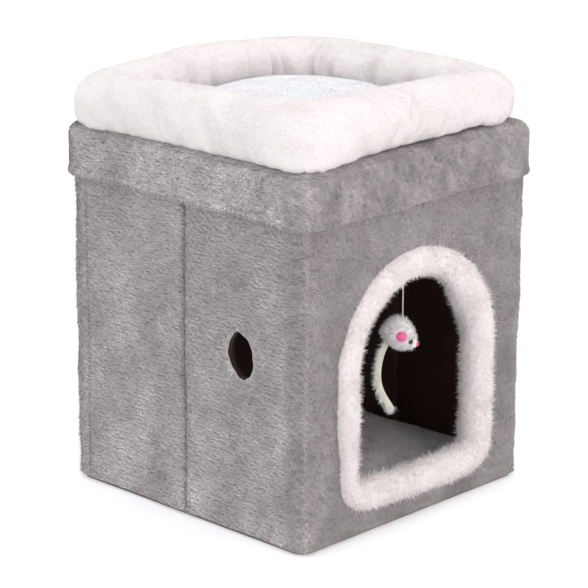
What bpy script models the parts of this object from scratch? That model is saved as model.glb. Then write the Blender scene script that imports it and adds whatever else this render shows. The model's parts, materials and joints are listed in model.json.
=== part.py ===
"""Foldable cat house with a bolster bed on its lift-off lid and a toy mouse in its doorway.

Metres, +Z up, origin under the middle of the base. The door is in the front wall, at -Y.
"""

import math

import bmesh
import bpy
from mathutils import Matrix, Vector

# Fits
TOUCH_GAP = 0.0003  # between pieces that touch
SWEEP_GAP = 0.0004  # under the walls, which slide over the base as they fold
SKIRT_CLEARANCE = 0.0030  # the front wall moves out 2.5 mm as it starts to fold
BED_CLEARANCE = 0.0006  # between the bolster and what lies inside it
MAT_CLEARANCE = 0.0030  # round the loose mat

# House
HOUSE_WIDTH = 0.400
HOUSE_DEPTH = 0.400
WALL_HEIGHT = 0.444

# Layers of a wall, from the outside in
PLUSH_THICKNESS = 0.0080
BOARD_THICKNESS = 0.0032
LINING_THICKNESS = 0.0012

# Fabric hinges of the walls
HINGE_INSET = 0.0080  # from the lining in to a corner hinge's axis
CREASE_GAP = 0.0012  # between the two halves of a side wall
CREASE_ROUNDING = 0.0045
WALL_EDGE_ROUNDING = 0.0020

# Base
BASE_INSET = 0.0060  # from the walls' outer faces in to the base's edge
BASE_CORNER_RADIUS = 0.0160
BASE_CLOTH_THICKNESS = 0.0008
BASE_BOARD_THICKNESS = 0.0024

# Lid
LID_LINING_THICKNESS = 0.0012
LID_BOARD_THICKNESS = 0.0032
LID_PLUSH_THICKNESS = 0.0078
SKIRT_DROP = 0.0665  # from the lid's top down to the hem
SKIRT_THICKNESS = 0.0062
SKIRT_SHOULDER = 0.0050
SKIRT_HEM_ROUNDING = 0.0022

# Bed on the lid
BOLSTER_INSET = 0.0055  # from the skirt's outer face
BOLSTER_WIDTH = 0.0720
BOLSTER_HEIGHT = 0.0670
BOLSTER_OUTER_RADIUS = 0.0500
BOLSTER_INNER_RADIUS = 0.0340
BOLSTER_PUCKER_DEPTH = 0.0035  # of the gathers at its inner corners
BOLSTER_SQUARENESS = 2.5  # exponent of its section, 2 being an ellipse
SHEET_THICKNESS = 0.0030
CUSHION_EDGE_HEIGHT = 0.0200
CUSHION_CROWN_HEIGHT = 0.0360
CUSHION_DRAW_IN = 0.0050
CUSHION_CORNER_DRAW = 0.060

# Mat
MAT_EDGE_HEIGHT = 0.0230
MAT_CROWN_HEIGHT = 0.0300
MAT_DRAW_IN = 0.0030
MAT_CORNER_DRAW = 0.035

# Doorway and its stuffed trim
DOOR_CENTRE_X = -0.0025
TRIM_SPAN = 0.2400  # between the centrelines of its two legs
TRIM_SILL_HEIGHT = 0.0505  # centreline of its bottom run
TRIM_TOP_HEIGHT = 0.3200  # centreline at the top of its arch
TRIM_CORNER_RADIUS = 0.0230
TRIM_WIDTH = 0.0420
TRIM_DEPTH = 0.0460
TRIM_SET_BACK = 0.0100  # from the front face in to its centreline

# Peephole in the front half of the left wall
PEEPHOLE_WIDTH = 0.0400
PEEPHOLE_HEIGHT = 0.0560
PEEPHOLE_FROM_FRONT = 0.1030
PEEPHOLE_CENTRE_HEIGHT = 0.2250
PEEPHOLE_LEAN = math.radians(-13)
PEEPHOLE_BOARD_MARGIN = 0.0020

# Toy
TOY_SET_BACK = 0.0250  # from the front face in to the string
LOOP_RADIUS = 0.0022
LOOP_THREAD_RADIUS = 0.0006
STRING_DIAMETER = 0.0016
STRING_LENGTH = 0.0500
MOUSE_HEADING = math.radians(-45.4)
MOUSE_LENGTH = 0.0430
MOUSE_HEIGHT = 0.0400
MOUSE_WIDTH = 0.0290
MOUSE_DROOP = 0.0165  # how far its snout hangs below its back
MOUSE_HANG_SHARE = 0.57  # where the string meets it, from rump to snout
EAR_RADIUS = 0.0063
EAR_BULGE = 0.0022
EAR_FORWARD = -0.0015
EAR_BELOW_BACK = 0.0208
EYE_RADIUS = 0.0031
EYE_FORWARD = 0.0096
EYE_BELOW_BACK = 0.0287
NOSE_RADIUS = 0.0034
NOSE_TUCK = 0.0014
TAIL_WIDTH = 0.0080
TAIL_THICKNESS = 0.0024
# Along the tail from its root, forward and up from where the string meets the mouse
TAIL_ROUTE = (
    (-0.0172, -0.0310),
    (-0.0240, -0.0450),
    (-0.0300, -0.0640),
    (-0.0305, -0.0880),
    (-0.0225, -0.1070),
    (-0.0105, -0.1215),
)

# Values worked out from the ones above
WALL_THICKNESS = PLUSH_THICKNESS + BOARD_THICKNESS + LINING_THICKNESS + 2 * TOUCH_GAP
CORNER_RADIUS = WALL_THICKNESS + HINGE_INSET
HALF_WIDTH = HOUSE_WIDTH / 2
HALF_DEPTH = HOUSE_DEPTH / 2
HINGE_X = HALF_WIDTH - CORNER_RADIUS
HINGE_Y = HALF_DEPTH - CORNER_RADIUS

BASE_BOARD_BOTTOM = BASE_CLOTH_THICKNESS + TOUCH_GAP
BASE_LINER_BOTTOM = BASE_BOARD_BOTTOM + BASE_BOARD_THICKNESS + TOUCH_GAP
BASE_TOP = BASE_LINER_BOTTOM + BASE_CLOTH_THICKNESS
WALL_BOTTOM = BASE_TOP + SWEEP_GAP
WALL_TOP = WALL_BOTTOM + WALL_HEIGHT

LID_LINING_BOTTOM = WALL_TOP + TOUCH_GAP
LID_BOARD_BOTTOM = LID_LINING_BOTTOM + LID_LINING_THICKNESS + TOUCH_GAP
LID_PLUSH_BOTTOM = LID_BOARD_BOTTOM + LID_BOARD_THICKNESS + TOUCH_GAP
LID_TOP = LID_PLUSH_BOTTOM + LID_PLUSH_THICKNESS
BED_BOTTOM = LID_TOP + TOUCH_GAP
CUSHION_BOTTOM = BED_BOTTOM + SHEET_THICKNESS + TOUCH_GAP

TRIM_Y = -HALF_DEPTH + TRIM_SET_BACK
TRIM_BACK_Y = TRIM_Y + TRIM_DEPTH / 2
TOY_Y = -HALF_DEPTH + TOY_SET_BACK

GREY_PLUSH = (0.40, 0.38, 0.39)
BROWN_CLOTH = (0.017, 0.007, 0.006)
FIBREBOARD = (0.36, 0.24, 0.14)
WHITE_PLUSH = (0.86, 0.82, 0.81)
WHITE_FLEECE = (0.84, 0.85, 0.88)
GREY_FLEECE = (0.13, 0.12, 0.125)
OFF_WHITE = (0.78, 0.77, 0.74)
CREAM_LEATHER = (0.75, 0.72, 0.62)
PINK_FELT = (0.95, 0.13, 0.34)
BLACK_BEAD = (0.01, 0.01, 0.01)
RED_BEAD = (0.80, 0.03, 0.02)


def new_collection(name):
    collection = bpy.data.collections.new(name)
    bpy.context.scene.collection.children.link(collection)
    return collection


def clear_scene():
    for item in list(bpy.data.objects):
        bpy.data.objects.remove(item, do_unlink=True)


def give_material(item, colour, roughness=0.9):
    material = bpy.data.materials.new(item.name)
    material.use_nodes = True
    shader = material.node_tree.nodes["Principled BSDF"]
    shader.inputs["Base Color"].default_value = (*colour, 1.0)
    shader.inputs["Roughness"].default_value = roughness
    shader.inputs["Metallic"].default_value = 0.0
    item.data.materials.clear()
    item.data.materials.append(material)


def add_object(name, data, collection):
    item = bpy.data.objects.new(name, data)
    collection.objects.link(item)
    return item


def object_from_bmesh(name, shape, collection):
    mesh = bpy.data.meshes.new(name)
    shape.to_mesh(mesh)
    shape.free()
    return add_object(name, mesh, collection)


def take_primitive(name, collection):
    """Names the primitive that was just added and moves it into the collection."""
    item = bpy.context.active_object
    item.name = name
    item.data.name = name
    for other in list(item.users_collection):
        other.objects.unlink(item)
    collection.objects.link(item)
    return item


def shade_smooth(item, sharp_degrees=40):
    item.data.shade_smooth()
    item.data.set_sharp_from_angle(angle=math.radians(sharp_degrees))


def make_cutter(item):
    item.hide_render = True
    item.display_type = "WIRE"
    return item


def cut(item, cutter):
    modifier = item.modifiers.new("cut by " + cutter.name, "BOOLEAN")
    modifier.operation = "DIFFERENCE"
    modifier.solver = "EXACT"
    modifier.object = cutter


def slab(name, low, high, collection):
    """A box between two corners."""
    low, high = Vector(low), Vector(high)
    shape = bmesh.new()
    bmesh.ops.create_cube(shape, size=1.0, matrix=Matrix.Diagonal((*(high - low), 1.0)))
    item = object_from_bmesh(name, shape, collection)
    item.location = (low + high) / 2
    return item


def arc(centre, radius, start_degrees, end_degrees, steps):
    """Points round an arc, both ends included."""
    points = []
    for step in range(steps + 1):
        angle = math.radians(start_degrees + (end_degrees - start_degrees) * step / steps)
        points.append(
            (centre[0] + radius * math.cos(angle), centre[1] + radius * math.sin(angle))
        )
    return points


def rounded_square(half_x, half_y, radius, corner_steps=5):
    """Outline of a rectangle with rounded corners, anticlockwise."""
    x, y = half_x - radius, half_y - radius
    corners = (((x, y), 0), ((-x, y), 90), ((-x, -y), 180), ((x, -y), 270))
    points = []
    for centre, start in corners:
        points += arc(centre, radius, start, start + 90, corner_steps)
    return points


def mesh_from_curve(curve_object, collection, whole_caps=False):
    """A welded mesh object in place of a curve object, its flat ends in one face each."""
    bpy.context.view_layer.update()
    evaluated = curve_object.evaluated_get(bpy.context.evaluated_depsgraph_get())
    mesh = bpy.data.meshes.new_from_object(evaluated)
    shape = bmesh.new()
    shape.from_mesh(mesh)
    bmesh.ops.remove_doubles(shape, verts=shape.verts, dist=0.00001)
    bmesh.ops.recalc_face_normals(shape, faces=shape.faces)
    if whole_caps:
        bmesh.ops.dissolve_limit(
            shape, angle_limit=math.radians(0.5), verts=shape.verts, edges=shape.edges
        )
    shape.to_mesh(mesh)
    shape.free()
    name, matrix = curve_object.name, curve_object.matrix_world.copy()
    bpy.data.objects.remove(curve_object, do_unlink=True)
    mesh.name = name
    item = add_object(name, mesh, collection)
    item.matrix_world = matrix
    return item


def prism(name, outline, thickness, matrix, collection):
    """A flat outline given a thickness."""
    curve = bpy.data.curves.new(name, "CURVE")
    curve.dimensions = "2D"
    curve.fill_mode = "BOTH"
    curve.extrude = thickness / 2
    spline = curve.splines.new("POLY")
    spline.points.add(len(outline) - 1)
    for point, (x, y) in zip(spline.points, outline):
        point.co = (x, y, 0.0, 1.0)
    spline.use_cyclic_u = True
    item = add_object(name, curve, collection)
    item.matrix_world = matrix
    return mesh_from_curve(item, collection, whole_caps=True)


def plan_prism(name, outline, bottom, top, collection):
    """A prism that stands on its outline, between two heights."""
    lift = Matrix.Translation((0.0, 0.0, (bottom + top) / 2))
    return prism(name, outline, top - bottom, lift, collection)


def round_edges(item, chosen, rounding, segments=3):
    """Rounds the edges whose two ends and middle all satisfy chosen(point)."""
    shape = bmesh.new()
    shape.from_mesh(item.data)
    edges = []
    for edge in shape.edges:
        start, end = (vertex.co for vertex in edge.verts)
        if all(chosen(point) for point in (start, end, (start + end) / 2)):
            edges.append(edge)
    bmesh.ops.bevel(
        shape, geom=edges, offset=rounding, segments=segments, profile=0.5, affect="EDGES"
    )
    shape.to_mesh(item.data)
    shape.free()


def ring(name, stations, section, collection):
    """A ring round a closed path, shaped from a torus.

    Each station is an inner and an outer point. Each point of the section, in order
    from the outside up, says how far it lies from the inner to the outer point, and
    how high.
    """
    count, sides = len(stations), len(section)
    bpy.ops.mesh.primitive_torus_add(
        major_segments=count, minor_segments=sides, major_radius=1.0, minor_radius=0.25
    )
    item = take_primitive(name, collection)
    for vertex in item.data.vertices:
        x, y, z = vertex.co
        around = math.atan2(y, x) / (2 * math.pi)
        turn = math.atan2(z, math.hypot(x, y) - 1.0) / (2 * math.pi)
        inner, outer = stations[round(around * count) % count]
        across, height = section[round(turn * sides) % sides]
        vertex.co.x = inner[0] + (outer[0] - inner[0]) * across
        vertex.co.y = inner[1] + (outer[1] - inner[1]) * across
        vertex.co.z = height
    item.data.update()
    return item


def oval_section(sides, height, squareness=2.0):
    """A roll's section, from an ellipse at squareness 2 to a box at more."""
    points = []
    for side in range(sides):
        turn = 2 * math.pi * side / sides
        wave = (math.cos(turn), math.sin(turn))
        across, up = (math.copysign(abs(w) ** (2 / squareness), w) for w in wave)
        points.append((0.5 + 0.5 * across, height * (0.5 + 0.5 * up)))
    return points


def fit_to_box(item, low, high):
    """Scales a mesh so that its smoothed surface just fills a box."""
    bpy.context.view_layer.update()
    evaluated = item.evaluated_get(bpy.context.evaluated_depsgraph_get())
    points = [vertex.co for vertex in evaluated.data.vertices]
    near = Vector([min(point[axis] for point in points) for axis in range(3)])
    far = Vector([max(point[axis] for point in points) for axis in range(3)])
    scale = [(high[axis] - low[axis]) / (far[axis] - near[axis]) for axis in range(3)]
    for vertex in item.data.vertices:
        vertex.co = [
            (vertex.co[axis] - near[axis]) * scale[axis] + low[axis] for axis in range(3)
        ]
    item.data.update()


def pillow(name, low, high, edge_height, draw_in, corner_draw, collection):
    """A cushion with a flat base, a crown, and sides drawn in between its corners."""
    half_x, half_y = (high[0] - low[0]) / 2, (high[1] - low[1]) / 2
    crown = high[2] - low[2]
    shape = bmesh.new()
    bmesh.ops.create_cube(shape, size=2.0)
    bmesh.ops.subdivide_edges(shape, edges=shape.edges, cuts=5, use_grid_fill=True)
    for vertex in shape.verts:
        u, v, w = vertex.co
        corner = 1 - corner_draw * u * u * v * v
        rise = ((1 - u * u) * (1 - v * v)) ** 0.6
        top = edge_height + (crown - edge_height) * rise
        vertex.co.x = u * corner * (half_x - draw_in * (1 - v * v))
        vertex.co.y = v * corner * (half_y - draw_in * (1 - u * u))
        vertex.co.z = top * (w + 1) / 2
    item = object_from_bmesh(name, shape, collection)
    smooth = item.modifiers.new("soft surface", "SUBSURF")
    smooth.levels = 1
    smooth.render_levels = 1
    fit_to_box(item, low, high)
    shade_smooth(item, 80)
    return item


def wall_outline(side):
    """Plan of the front (-1) or back (+1) plush, wrapped round both corners."""
    inner_x = HALF_WIDTH - WALL_THICKNESS
    inner_y = HALF_DEPTH - PLUSH_THICKNESS
    outer = arc((HINGE_X, HINGE_Y), CORNER_RADIUS, 0, 90, 7)
    outer += arc((-HINGE_X, HINGE_Y), CORNER_RADIUS, 90, 180, 7)
    pocket = [
        (-inner_x, HINGE_Y),
        (-inner_x, inner_y),
        (inner_x, inner_y),
        (inner_x, HINGE_Y),
    ]
    return [(x, y * side) for x, y in outer + pocket]


def door_outline(offset):
    """The trim's centreline in X and Z from the door's middle, moved out by offset."""
    half = TRIM_SPAN / 2
    spring = TRIM_TOP_HEIGHT - half
    corner_x = half - TRIM_CORNER_RADIUS
    corner_z = TRIM_SILL_HEIGHT + TRIM_CORNER_RADIUS
    radius = TRIM_CORNER_RADIUS + offset
    leg_steps = 6
    sill_steps = 8
    points = arc((corner_x, corner_z), radius, -90, 0, 6)
    for step in range(1, leg_steps):
        height = corner_z + (spring - corner_z) * step / leg_steps
        points.append((half + offset, height))
    points += arc((0.0, spring), half + offset, 0, 180, 22)
    for step in range(1, leg_steps):
        height = spring + (corner_z - spring) * step / leg_steps
        points.append((-half - offset, height))
    points += arc((-corner_x, corner_z), radius, 180, 270, 6)
    for step in range(1, sill_steps):
        across = -corner_x + 2 * corner_x * step / sill_steps
        points.append((across, TRIM_SILL_HEIGHT - offset))
    return points


def peephole_outline(margin):
    """A leaning lens in Y and Z round the peephole's middle."""
    half_width = PEEPHOLE_WIDTH / 2 + margin
    half_height = PEEPHOLE_HEIGHT / 2 + margin
    steps = 24
    points = []
    for step in range(steps):
        angle = 2 * math.pi * step / steps
        y = half_width * math.copysign(abs(math.cos(angle)) ** 1.25, math.cos(angle))
        z = half_height * math.sin(angle)
        points.append(
            (
                y * math.cos(PEEPHOLE_LEAN) - z * math.sin(PEEPHOLE_LEAN),
                y * math.sin(PEEPHOLE_LEAN) + z * math.cos(PEEPHOLE_LEAN),
            )
        )
    return points


def build_base(parts, cutters):
    half_x, half_y = HALF_WIDTH - BASE_INSET, HALF_DEPTH - BASE_INSET
    inner_x, inner_y = half_x - BASE_CLOTH_THICKNESS, half_y - BASE_CLOTH_THICKNESS
    inner_radius = BASE_CORNER_RADIUS - BASE_CLOTH_THICKNESS
    cover = plan_prism(
        "base_cover",
        rounded_square(half_x, half_y, BASE_CORNER_RADIUS),
        0.0,
        BASE_TOP,
        parts,
    )
    pocket = plan_prism(
        "base_pocket",
        rounded_square(inner_x, inner_y, inner_radius),
        BASE_CLOTH_THICKNESS,
        BASE_TOP + BASE_CLOTH_THICKNESS,
        cutters,
    )
    cut(cover, make_cutter(pocket))
    filling = rounded_square(
        inner_x - TOUCH_GAP, inner_y - TOUCH_GAP, inner_radius - TOUCH_GAP
    )
    board = plan_prism(
        "base_board",
        filling,
        BASE_BOARD_BOTTOM,
        BASE_BOARD_BOTTOM + BASE_BOARD_THICKNESS,
        parts,
    )
    liner = plan_prism("base_liner", filling, BASE_LINER_BOTTOM, BASE_TOP, parts)
    give_material(cover, BROWN_CLOTH)
    give_material(board, FIBREBOARD)
    give_material(liner, BROWN_CLOTH)


def build_end_wall(name, side, parts):
    """The front (-1) or back (+1) wall: plush round the corners, board and lining inside."""
    plush = plan_prism(name + "_plush", wall_outline(side), WALL_BOTTOM, WALL_TOP, parts)
    lining_low = HALF_DEPTH - WALL_THICKNESS
    board_low = lining_low + LINING_THICKNESS + TOUCH_GAP
    inner_x = HALF_WIDTH - WALL_THICKNESS - TOUCH_GAP

    def layer(label, near, far):
        low_y, high_y = sorted((near * side, far * side))
        return slab(
            name + label,
            (-inner_x, low_y, WALL_BOTTOM),
            (inner_x, high_y, WALL_TOP),
            parts,
        )

    board = layer("_board", board_low, board_low + BOARD_THICKNESS)
    lining = layer("_lining", lining_low, lining_low + LINING_THICKNESS)
    round_edges(
        plush,
        lambda p: abs(p.z) > WALL_HEIGHT / 2 - 0.0001 and is_outer(p),
        WALL_EDGE_ROUNDING,
        2,
    )
    shade_smooth(plush)
    give_material(plush, GREY_PLUSH)
    give_material(board, FIBREBOARD)
    give_material(lining, BROWN_CLOTH)
    return [plush, board, lining]


def is_outer(point):
    """Whether a point lies on the house's rounded outer face."""
    past_x, past_y = abs(point.x) - HINGE_X, abs(point.y) - HINGE_Y
    if past_x > 0 and past_y > 0:
        return math.hypot(past_x, past_y) > CORNER_RADIUS - 0.0001
    return max(past_x, past_y) > CORNER_RADIUS - 0.0001


def build_side_half(name, side, end, parts):
    """Half of the left (-1) or right (+1) wall, towards the front (-1) or back (+1)."""
    near_y, far_y = CREASE_GAP / 2, HINGE_Y - TOUCH_GAP

    def layer(label, outer, thickness):
        low_x, high_x = sorted((outer * side, (outer - thickness) * side))
        low_y, high_y = sorted((near_y * end, far_y * end))
        return slab(
            name + label,
            (low_x, low_y, WALL_BOTTOM),
            (high_x, high_y, WALL_TOP),
            parts,
        )

    board_outer = HALF_WIDTH - PLUSH_THICKNESS - TOUCH_GAP
    lining_outer = board_outer - BOARD_THICKNESS - TOUCH_GAP
    plush = layer("_plush", HALF_WIDTH, PLUSH_THICKNESS)
    board = layer("_board", board_outer, BOARD_THICKNESS)
    lining = layer("_lining", lining_outer, LINING_THICKNESS)
    round_edges(
        plush,
        lambda p: p.x * side > 0 and p.y * end < -0.01,
        CREASE_ROUNDING,
    )
    round_edges(
        plush,
        lambda p: p.x * side > PLUSH_THICKNESS / 2 - 0.0001
        and abs(p.z) > WALL_HEIGHT / 2 - 0.0001,
        WALL_EDGE_ROUNDING,
        2,
    )
    shade_smooth(plush)
    give_material(plush, GREY_PLUSH)
    give_material(board, FIBREBOARD)
    give_material(lining, BROWN_CLOTH)
    return [plush, board, lining]


def cut_doorway(front, cutters):
    """Opens the front wall's three layers for the trim."""
    upright = Matrix.Rotation(math.radians(90), 4, "X")
    place = Matrix.Translation((DOOR_CENTRE_X, -HALF_DEPTH + WALL_THICKNESS / 2, 0.0))
    outline = door_outline(TRIM_WIDTH / 2 + TOUCH_GAP)
    doorway = prism("doorway", outline, 4 * WALL_THICKNESS, place @ upright, cutters)
    make_cutter(doorway)
    for item in front:
        cut(item, doorway)


def cut_peephole(left_front, cutters):
    """Opens the left wall's front half, a little wider in the layers behind the plush."""
    upright = Matrix(((0, 0, 1, 0), (1, 0, 0, 0), (0, 1, 0, 0), (0, 0, 0, 1)))
    place = Matrix.Translation(
        (
            -HALF_WIDTH + WALL_THICKNESS / 2,
            -HALF_DEPTH + PEEPHOLE_FROM_FRONT,
            PEEPHOLE_CENTRE_HEIGHT,
        )
    )
    plush, board, lining = left_front
    through = 2 * WALL_THICKNESS
    narrow = prism("peephole", peephole_outline(0.0), through, place @ upright, cutters)
    wide = prism(
        "peephole_in_board",
        peephole_outline(PEEPHOLE_BOARD_MARGIN),
        through,
        place @ upright,
        cutters,
    )
    cut(plush, make_cutter(narrow))
    cut(board, make_cutter(wide))
    cut(lining, wide)


def build_trim(parts):
    """The stuffed white roll that fills the doorway's edge."""
    half_width = TRIM_WIDTH / 2
    stations = list(zip(door_outline(-half_width), door_outline(half_width)))
    trim = ring("door_trim", stations, oval_section(16, TRIM_DEPTH), parts)
    trim.rotation_euler = (math.radians(90), 0.0, 0.0)
    trim.location = (DOOR_CENTRE_X, TRIM_BACK_Y, 0.0)
    shade_smooth(trim, 80)
    give_material(trim, WHITE_PLUSH)
    return trim


def ring_points(half_x, half_y, radius, side_steps, corner_steps, pucker=0.0):
    """Points round a rounded rectangle, as many on each side and corner."""
    x, y = half_x - radius, half_y - radius
    corners = (((x, y), 0), ((-x, y), 90), ((-x, -y), 180), ((x, -y), 270))
    points = []
    for number, (centre, start) in enumerate(corners):
        for step in range(corner_steps + 1):
            drawn = pucker if step % 2 else 0.0
            turn = math.radians(start + 90 * step / corner_steps)
            reach = radius - drawn
            points.append(
                (centre[0] + reach * math.cos(turn), centre[1] + reach * math.sin(turn))
            )
        following, after = corners[(number + 1) % 4]
        turn = math.radians(after)
        here = points[-1]
        there = (
            following[0] + radius * math.cos(turn),
            following[1] + radius * math.sin(turn),
        )
        for step in range(1, side_steps):
            share = step / side_steps
            points.append(
                (
                    here[0] + (there[0] - here[0]) * share,
                    here[1] + (there[1] - here[1]) * share,
                )
            )
    return points


def skirt_section():
    """The skirt's section, its outer edges rounded at the shoulder and the hem."""
    across = SKIRT_SHOULDER / SKIRT_THICKNESS
    hem = SKIRT_HEM_ROUNDING / SKIRT_THICKNESS
    points = []
    for step in range(5):
        turn = math.pi / 2 * step / 4
        points.append(
            (
                1 - across + across * math.cos(turn),
                SKIRT_DROP - SKIRT_SHOULDER + SKIRT_SHOULDER * math.sin(turn),
            )
        )
    points += [(0.0, SKIRT_DROP), (0.0, 0.0)]
    for step in range(3):
        turn = math.pi / 2 * (1 - step / 2)
        points.append(
            (1 - hem + hem * math.cos(turn), SKIRT_HEM_ROUNDING * (1 - math.sin(turn)))
        )
    return points


def build_lid(parts):
    """The lid's skirt, which hangs round the walls, and the layers inside it."""
    inner_x = HALF_WIDTH + SKIRT_CLEARANCE
    inner_y = HALF_DEPTH + SKIRT_CLEARANCE
    inner_radius = CORNER_RADIUS + SKIRT_CLEARANCE
    inner = ring_points(inner_x, inner_y, inner_radius, 1, 6)
    outer = ring_points(
        inner_x + SKIRT_THICKNESS,
        inner_y + SKIRT_THICKNESS,
        inner_radius + SKIRT_THICKNESS,
        1,
        6,
    )
    skirt = ring("lid_skirt", list(zip(inner, outer)), skirt_section(), parts)
    skirt.location = (0.0, 0.0, LID_TOP - SKIRT_DROP)
    shade_smooth(skirt)
    plan = rounded_square(
        inner_x - TOUCH_GAP, inner_y - TOUCH_GAP, inner_radius - TOUCH_GAP, 6
    )
    lining = plan_prism(
        "lid_lining",
        plan,
        LID_LINING_BOTTOM,
        LID_LINING_BOTTOM + LID_LINING_THICKNESS,
        parts,
    )
    board = plan_prism(
        "lid_board",
        plan,
        LID_BOARD_BOTTOM,
        LID_BOARD_BOTTOM + LID_BOARD_THICKNESS,
        parts,
    )
    plush = plan_prism("lid_plush", plan, LID_PLUSH_BOTTOM, LID_TOP, parts)
    give_material(skirt, GREY_PLUSH)
    give_material(lining, BROWN_CLOTH)
    give_material(board, FIBREBOARD)
    give_material(plush, GREY_PLUSH)
    return [skirt, lining, board, plush]


def bolster_half_size():
    """Half of the bolster's outer width and depth, and of its well's."""
    stand_out = SKIRT_CLEARANCE + SKIRT_THICKNESS - BOLSTER_INSET
    outer_x, outer_y = HALF_WIDTH + stand_out, HALF_DEPTH + stand_out
    return outer_x, outer_y, outer_x - BOLSTER_WIDTH, outer_y - BOLSTER_WIDTH


def build_bed(parts):
    outer_x, outer_y, inner_x, inner_y = bolster_half_size()
    side_steps, corner_steps = 6, 8
    outer = ring_points(outer_x, outer_y, BOLSTER_OUTER_RADIUS, side_steps, corner_steps)
    inner = ring_points(
        inner_x,
        inner_y,
        BOLSTER_INNER_RADIUS,
        side_steps,
        corner_steps,
        BOLSTER_PUCKER_DEPTH,
    )

    section = oval_section(16, BOLSTER_HEIGHT, BOLSTER_SQUARENESS)
    bolster = ring("bolster", list(zip(inner, outer)), section, parts)
    bolster.location = (0.0, 0.0, BED_BOTTOM)
    shade_smooth(bolster, 80)
    half_x = inner_x - BED_CLEARANCE - BOLSTER_PUCKER_DEPTH
    half_y = inner_y - BED_CLEARANCE - BOLSTER_PUCKER_DEPTH
    sheet = plan_prism(
        "bed_sheet",
        rounded_square(half_x, half_y, BOLSTER_INNER_RADIUS),
        BED_BOTTOM,
        BED_BOTTOM + SHEET_THICKNESS,
        parts,
    )
    cushion = pillow(
        "top_cushion",
        (-half_x, -half_y, CUSHION_BOTTOM),
        (half_x, half_y, CUSHION_BOTTOM + CUSHION_CROWN_HEIGHT),
        CUSHION_EDGE_HEIGHT,
        CUSHION_DRAW_IN,
        CUSHION_CORNER_DRAW,
        parts,
    )
    give_material(bolster, WHITE_PLUSH)
    give_material(sheet, WHITE_FLEECE)
    give_material(cushion, WHITE_FLEECE)
    return [bolster, sheet], cushion


def build_mat(parts):
    bottom = BASE_TOP + TOUCH_GAP
    inner_x = HALF_WIDTH - WALL_THICKNESS - MAT_CLEARANCE
    inner_y = HALF_DEPTH - WALL_THICKNESS - MAT_CLEARANCE
    mat = pillow(
        "floor_mat",
        (-inner_x, TRIM_BACK_Y + MAT_CLEARANCE, bottom),
        (inner_x, inner_y, bottom + MAT_CROWN_HEIGHT),
        MAT_EDGE_HEIGHT,
        MAT_DRAW_IN,
        MAT_CORNER_DRAW,
        parts,
    )
    give_material(mat, GREY_FLEECE)
    return mat


def trim_underside():
    """Height of the trim's lower face at the top of the arch, above the toy's string."""
    back = (TOY_Y - TRIM_Y) / (TRIM_DEPTH / 2)
    return TRIM_TOP_HEIGHT - TRIM_WIDTH / 2 * math.sqrt(1 - back * back)


def mouse_section(share):
    """Height of the middle, half height and half width of the mouse, rump to snout."""
    swell = math.sin(math.pi * share)
    middle = -MOUSE_DROOP * share**4
    return middle, MOUSE_HEIGHT / 2 * swell**0.6, MOUSE_WIDTH / 2 * swell**0.7


def mouse_back():
    """Height of the mouse's back where the string meets it."""
    middle, half_height, _ = mouse_section(MOUSE_HANG_SHARE)
    return middle + half_height


def shape_mouse(name, grow, collection):
    """The mouse's stuffed body, nose along +X, the string's end at its origin."""
    bpy.ops.mesh.primitive_uv_sphere_add(segments=20, ring_count=14, radius=1.0)
    item = take_primitive(name, collection)
    for vertex in item.data.vertices:
        across, up, along = vertex.co
        share = (1 + along) / 2
        radius = math.hypot(across, up)
        middle, half_height, half_width = mouse_section(min(max(share, 0.0), 1.0))
        if radius > 0.0001:
            across, up = across / radius, up / radius
        else:
            half_height = half_width = 0.0
        vertex.co.x = MOUSE_LENGTH * (share - MOUSE_HANG_SHARE) + grow * along
        vertex.co.y = across * (half_width + grow * min(1.0, radius * 3))
        vertex.co.z = (
            middle + up * (half_height + grow * min(1.0, radius * 3)) - mouse_back()
        )
    item.data.update()
    shade_smooth(item, 80)
    return item


def mouse_flank(forward, below, side):
    """A point on the mouse's flank, given how far forward of and below the string."""
    share = MOUSE_HANG_SHARE + forward / MOUSE_LENGTH
    middle, half_height, half_width = mouse_section(share)
    rise = (mouse_back() - below - middle) / half_height
    return Vector((forward, side * half_width * math.sqrt(1 - rise * rise), -below))


def add_bead(name, centre, radii, collection):
    bpy.ops.mesh.primitive_uv_sphere_add(segments=16, ring_count=8, radius=1.0)
    item = take_primitive(name, collection)
    item.data.transform(Matrix.Diagonal((*radii, 1.0)))
    item.location = centre
    shade_smooth(item, 80)
    return item


def build_tail(collection):
    """A flat tapering strip that hangs from the rump."""
    curve = bpy.data.curves.new("mouse_tail", "CURVE")
    curve.dimensions = "3D"
    curve.bevel_depth = TAIL_WIDTH / 2
    curve.bevel_resolution = 2
    curve.use_fill_caps = True
    spline = curve.splines.new("BEZIER")
    spline.resolution_u = 4
    spline.bezier_points.add(len(TAIL_ROUTE) - 1)
    for number, (point, (forward, up)) in enumerate(zip(spline.bezier_points, TAIL_ROUTE)):
        point.co = (forward, 0.0, up)
        point.handle_left_type = "AUTO"
        point.handle_right_type = "AUTO"
        point.radius = 0.75 + 0.25 * math.sin(math.pi * number / (len(TAIL_ROUTE) - 1))
    tail = mesh_from_curve(add_object("mouse_tail", curve, collection), collection)
    tail.data.transform(Matrix.Diagonal((1.0, TAIL_THICKNESS / TAIL_WIDTH, 1.0, 1.0)))
    shade_smooth(tail, 80)
    return tail


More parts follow.
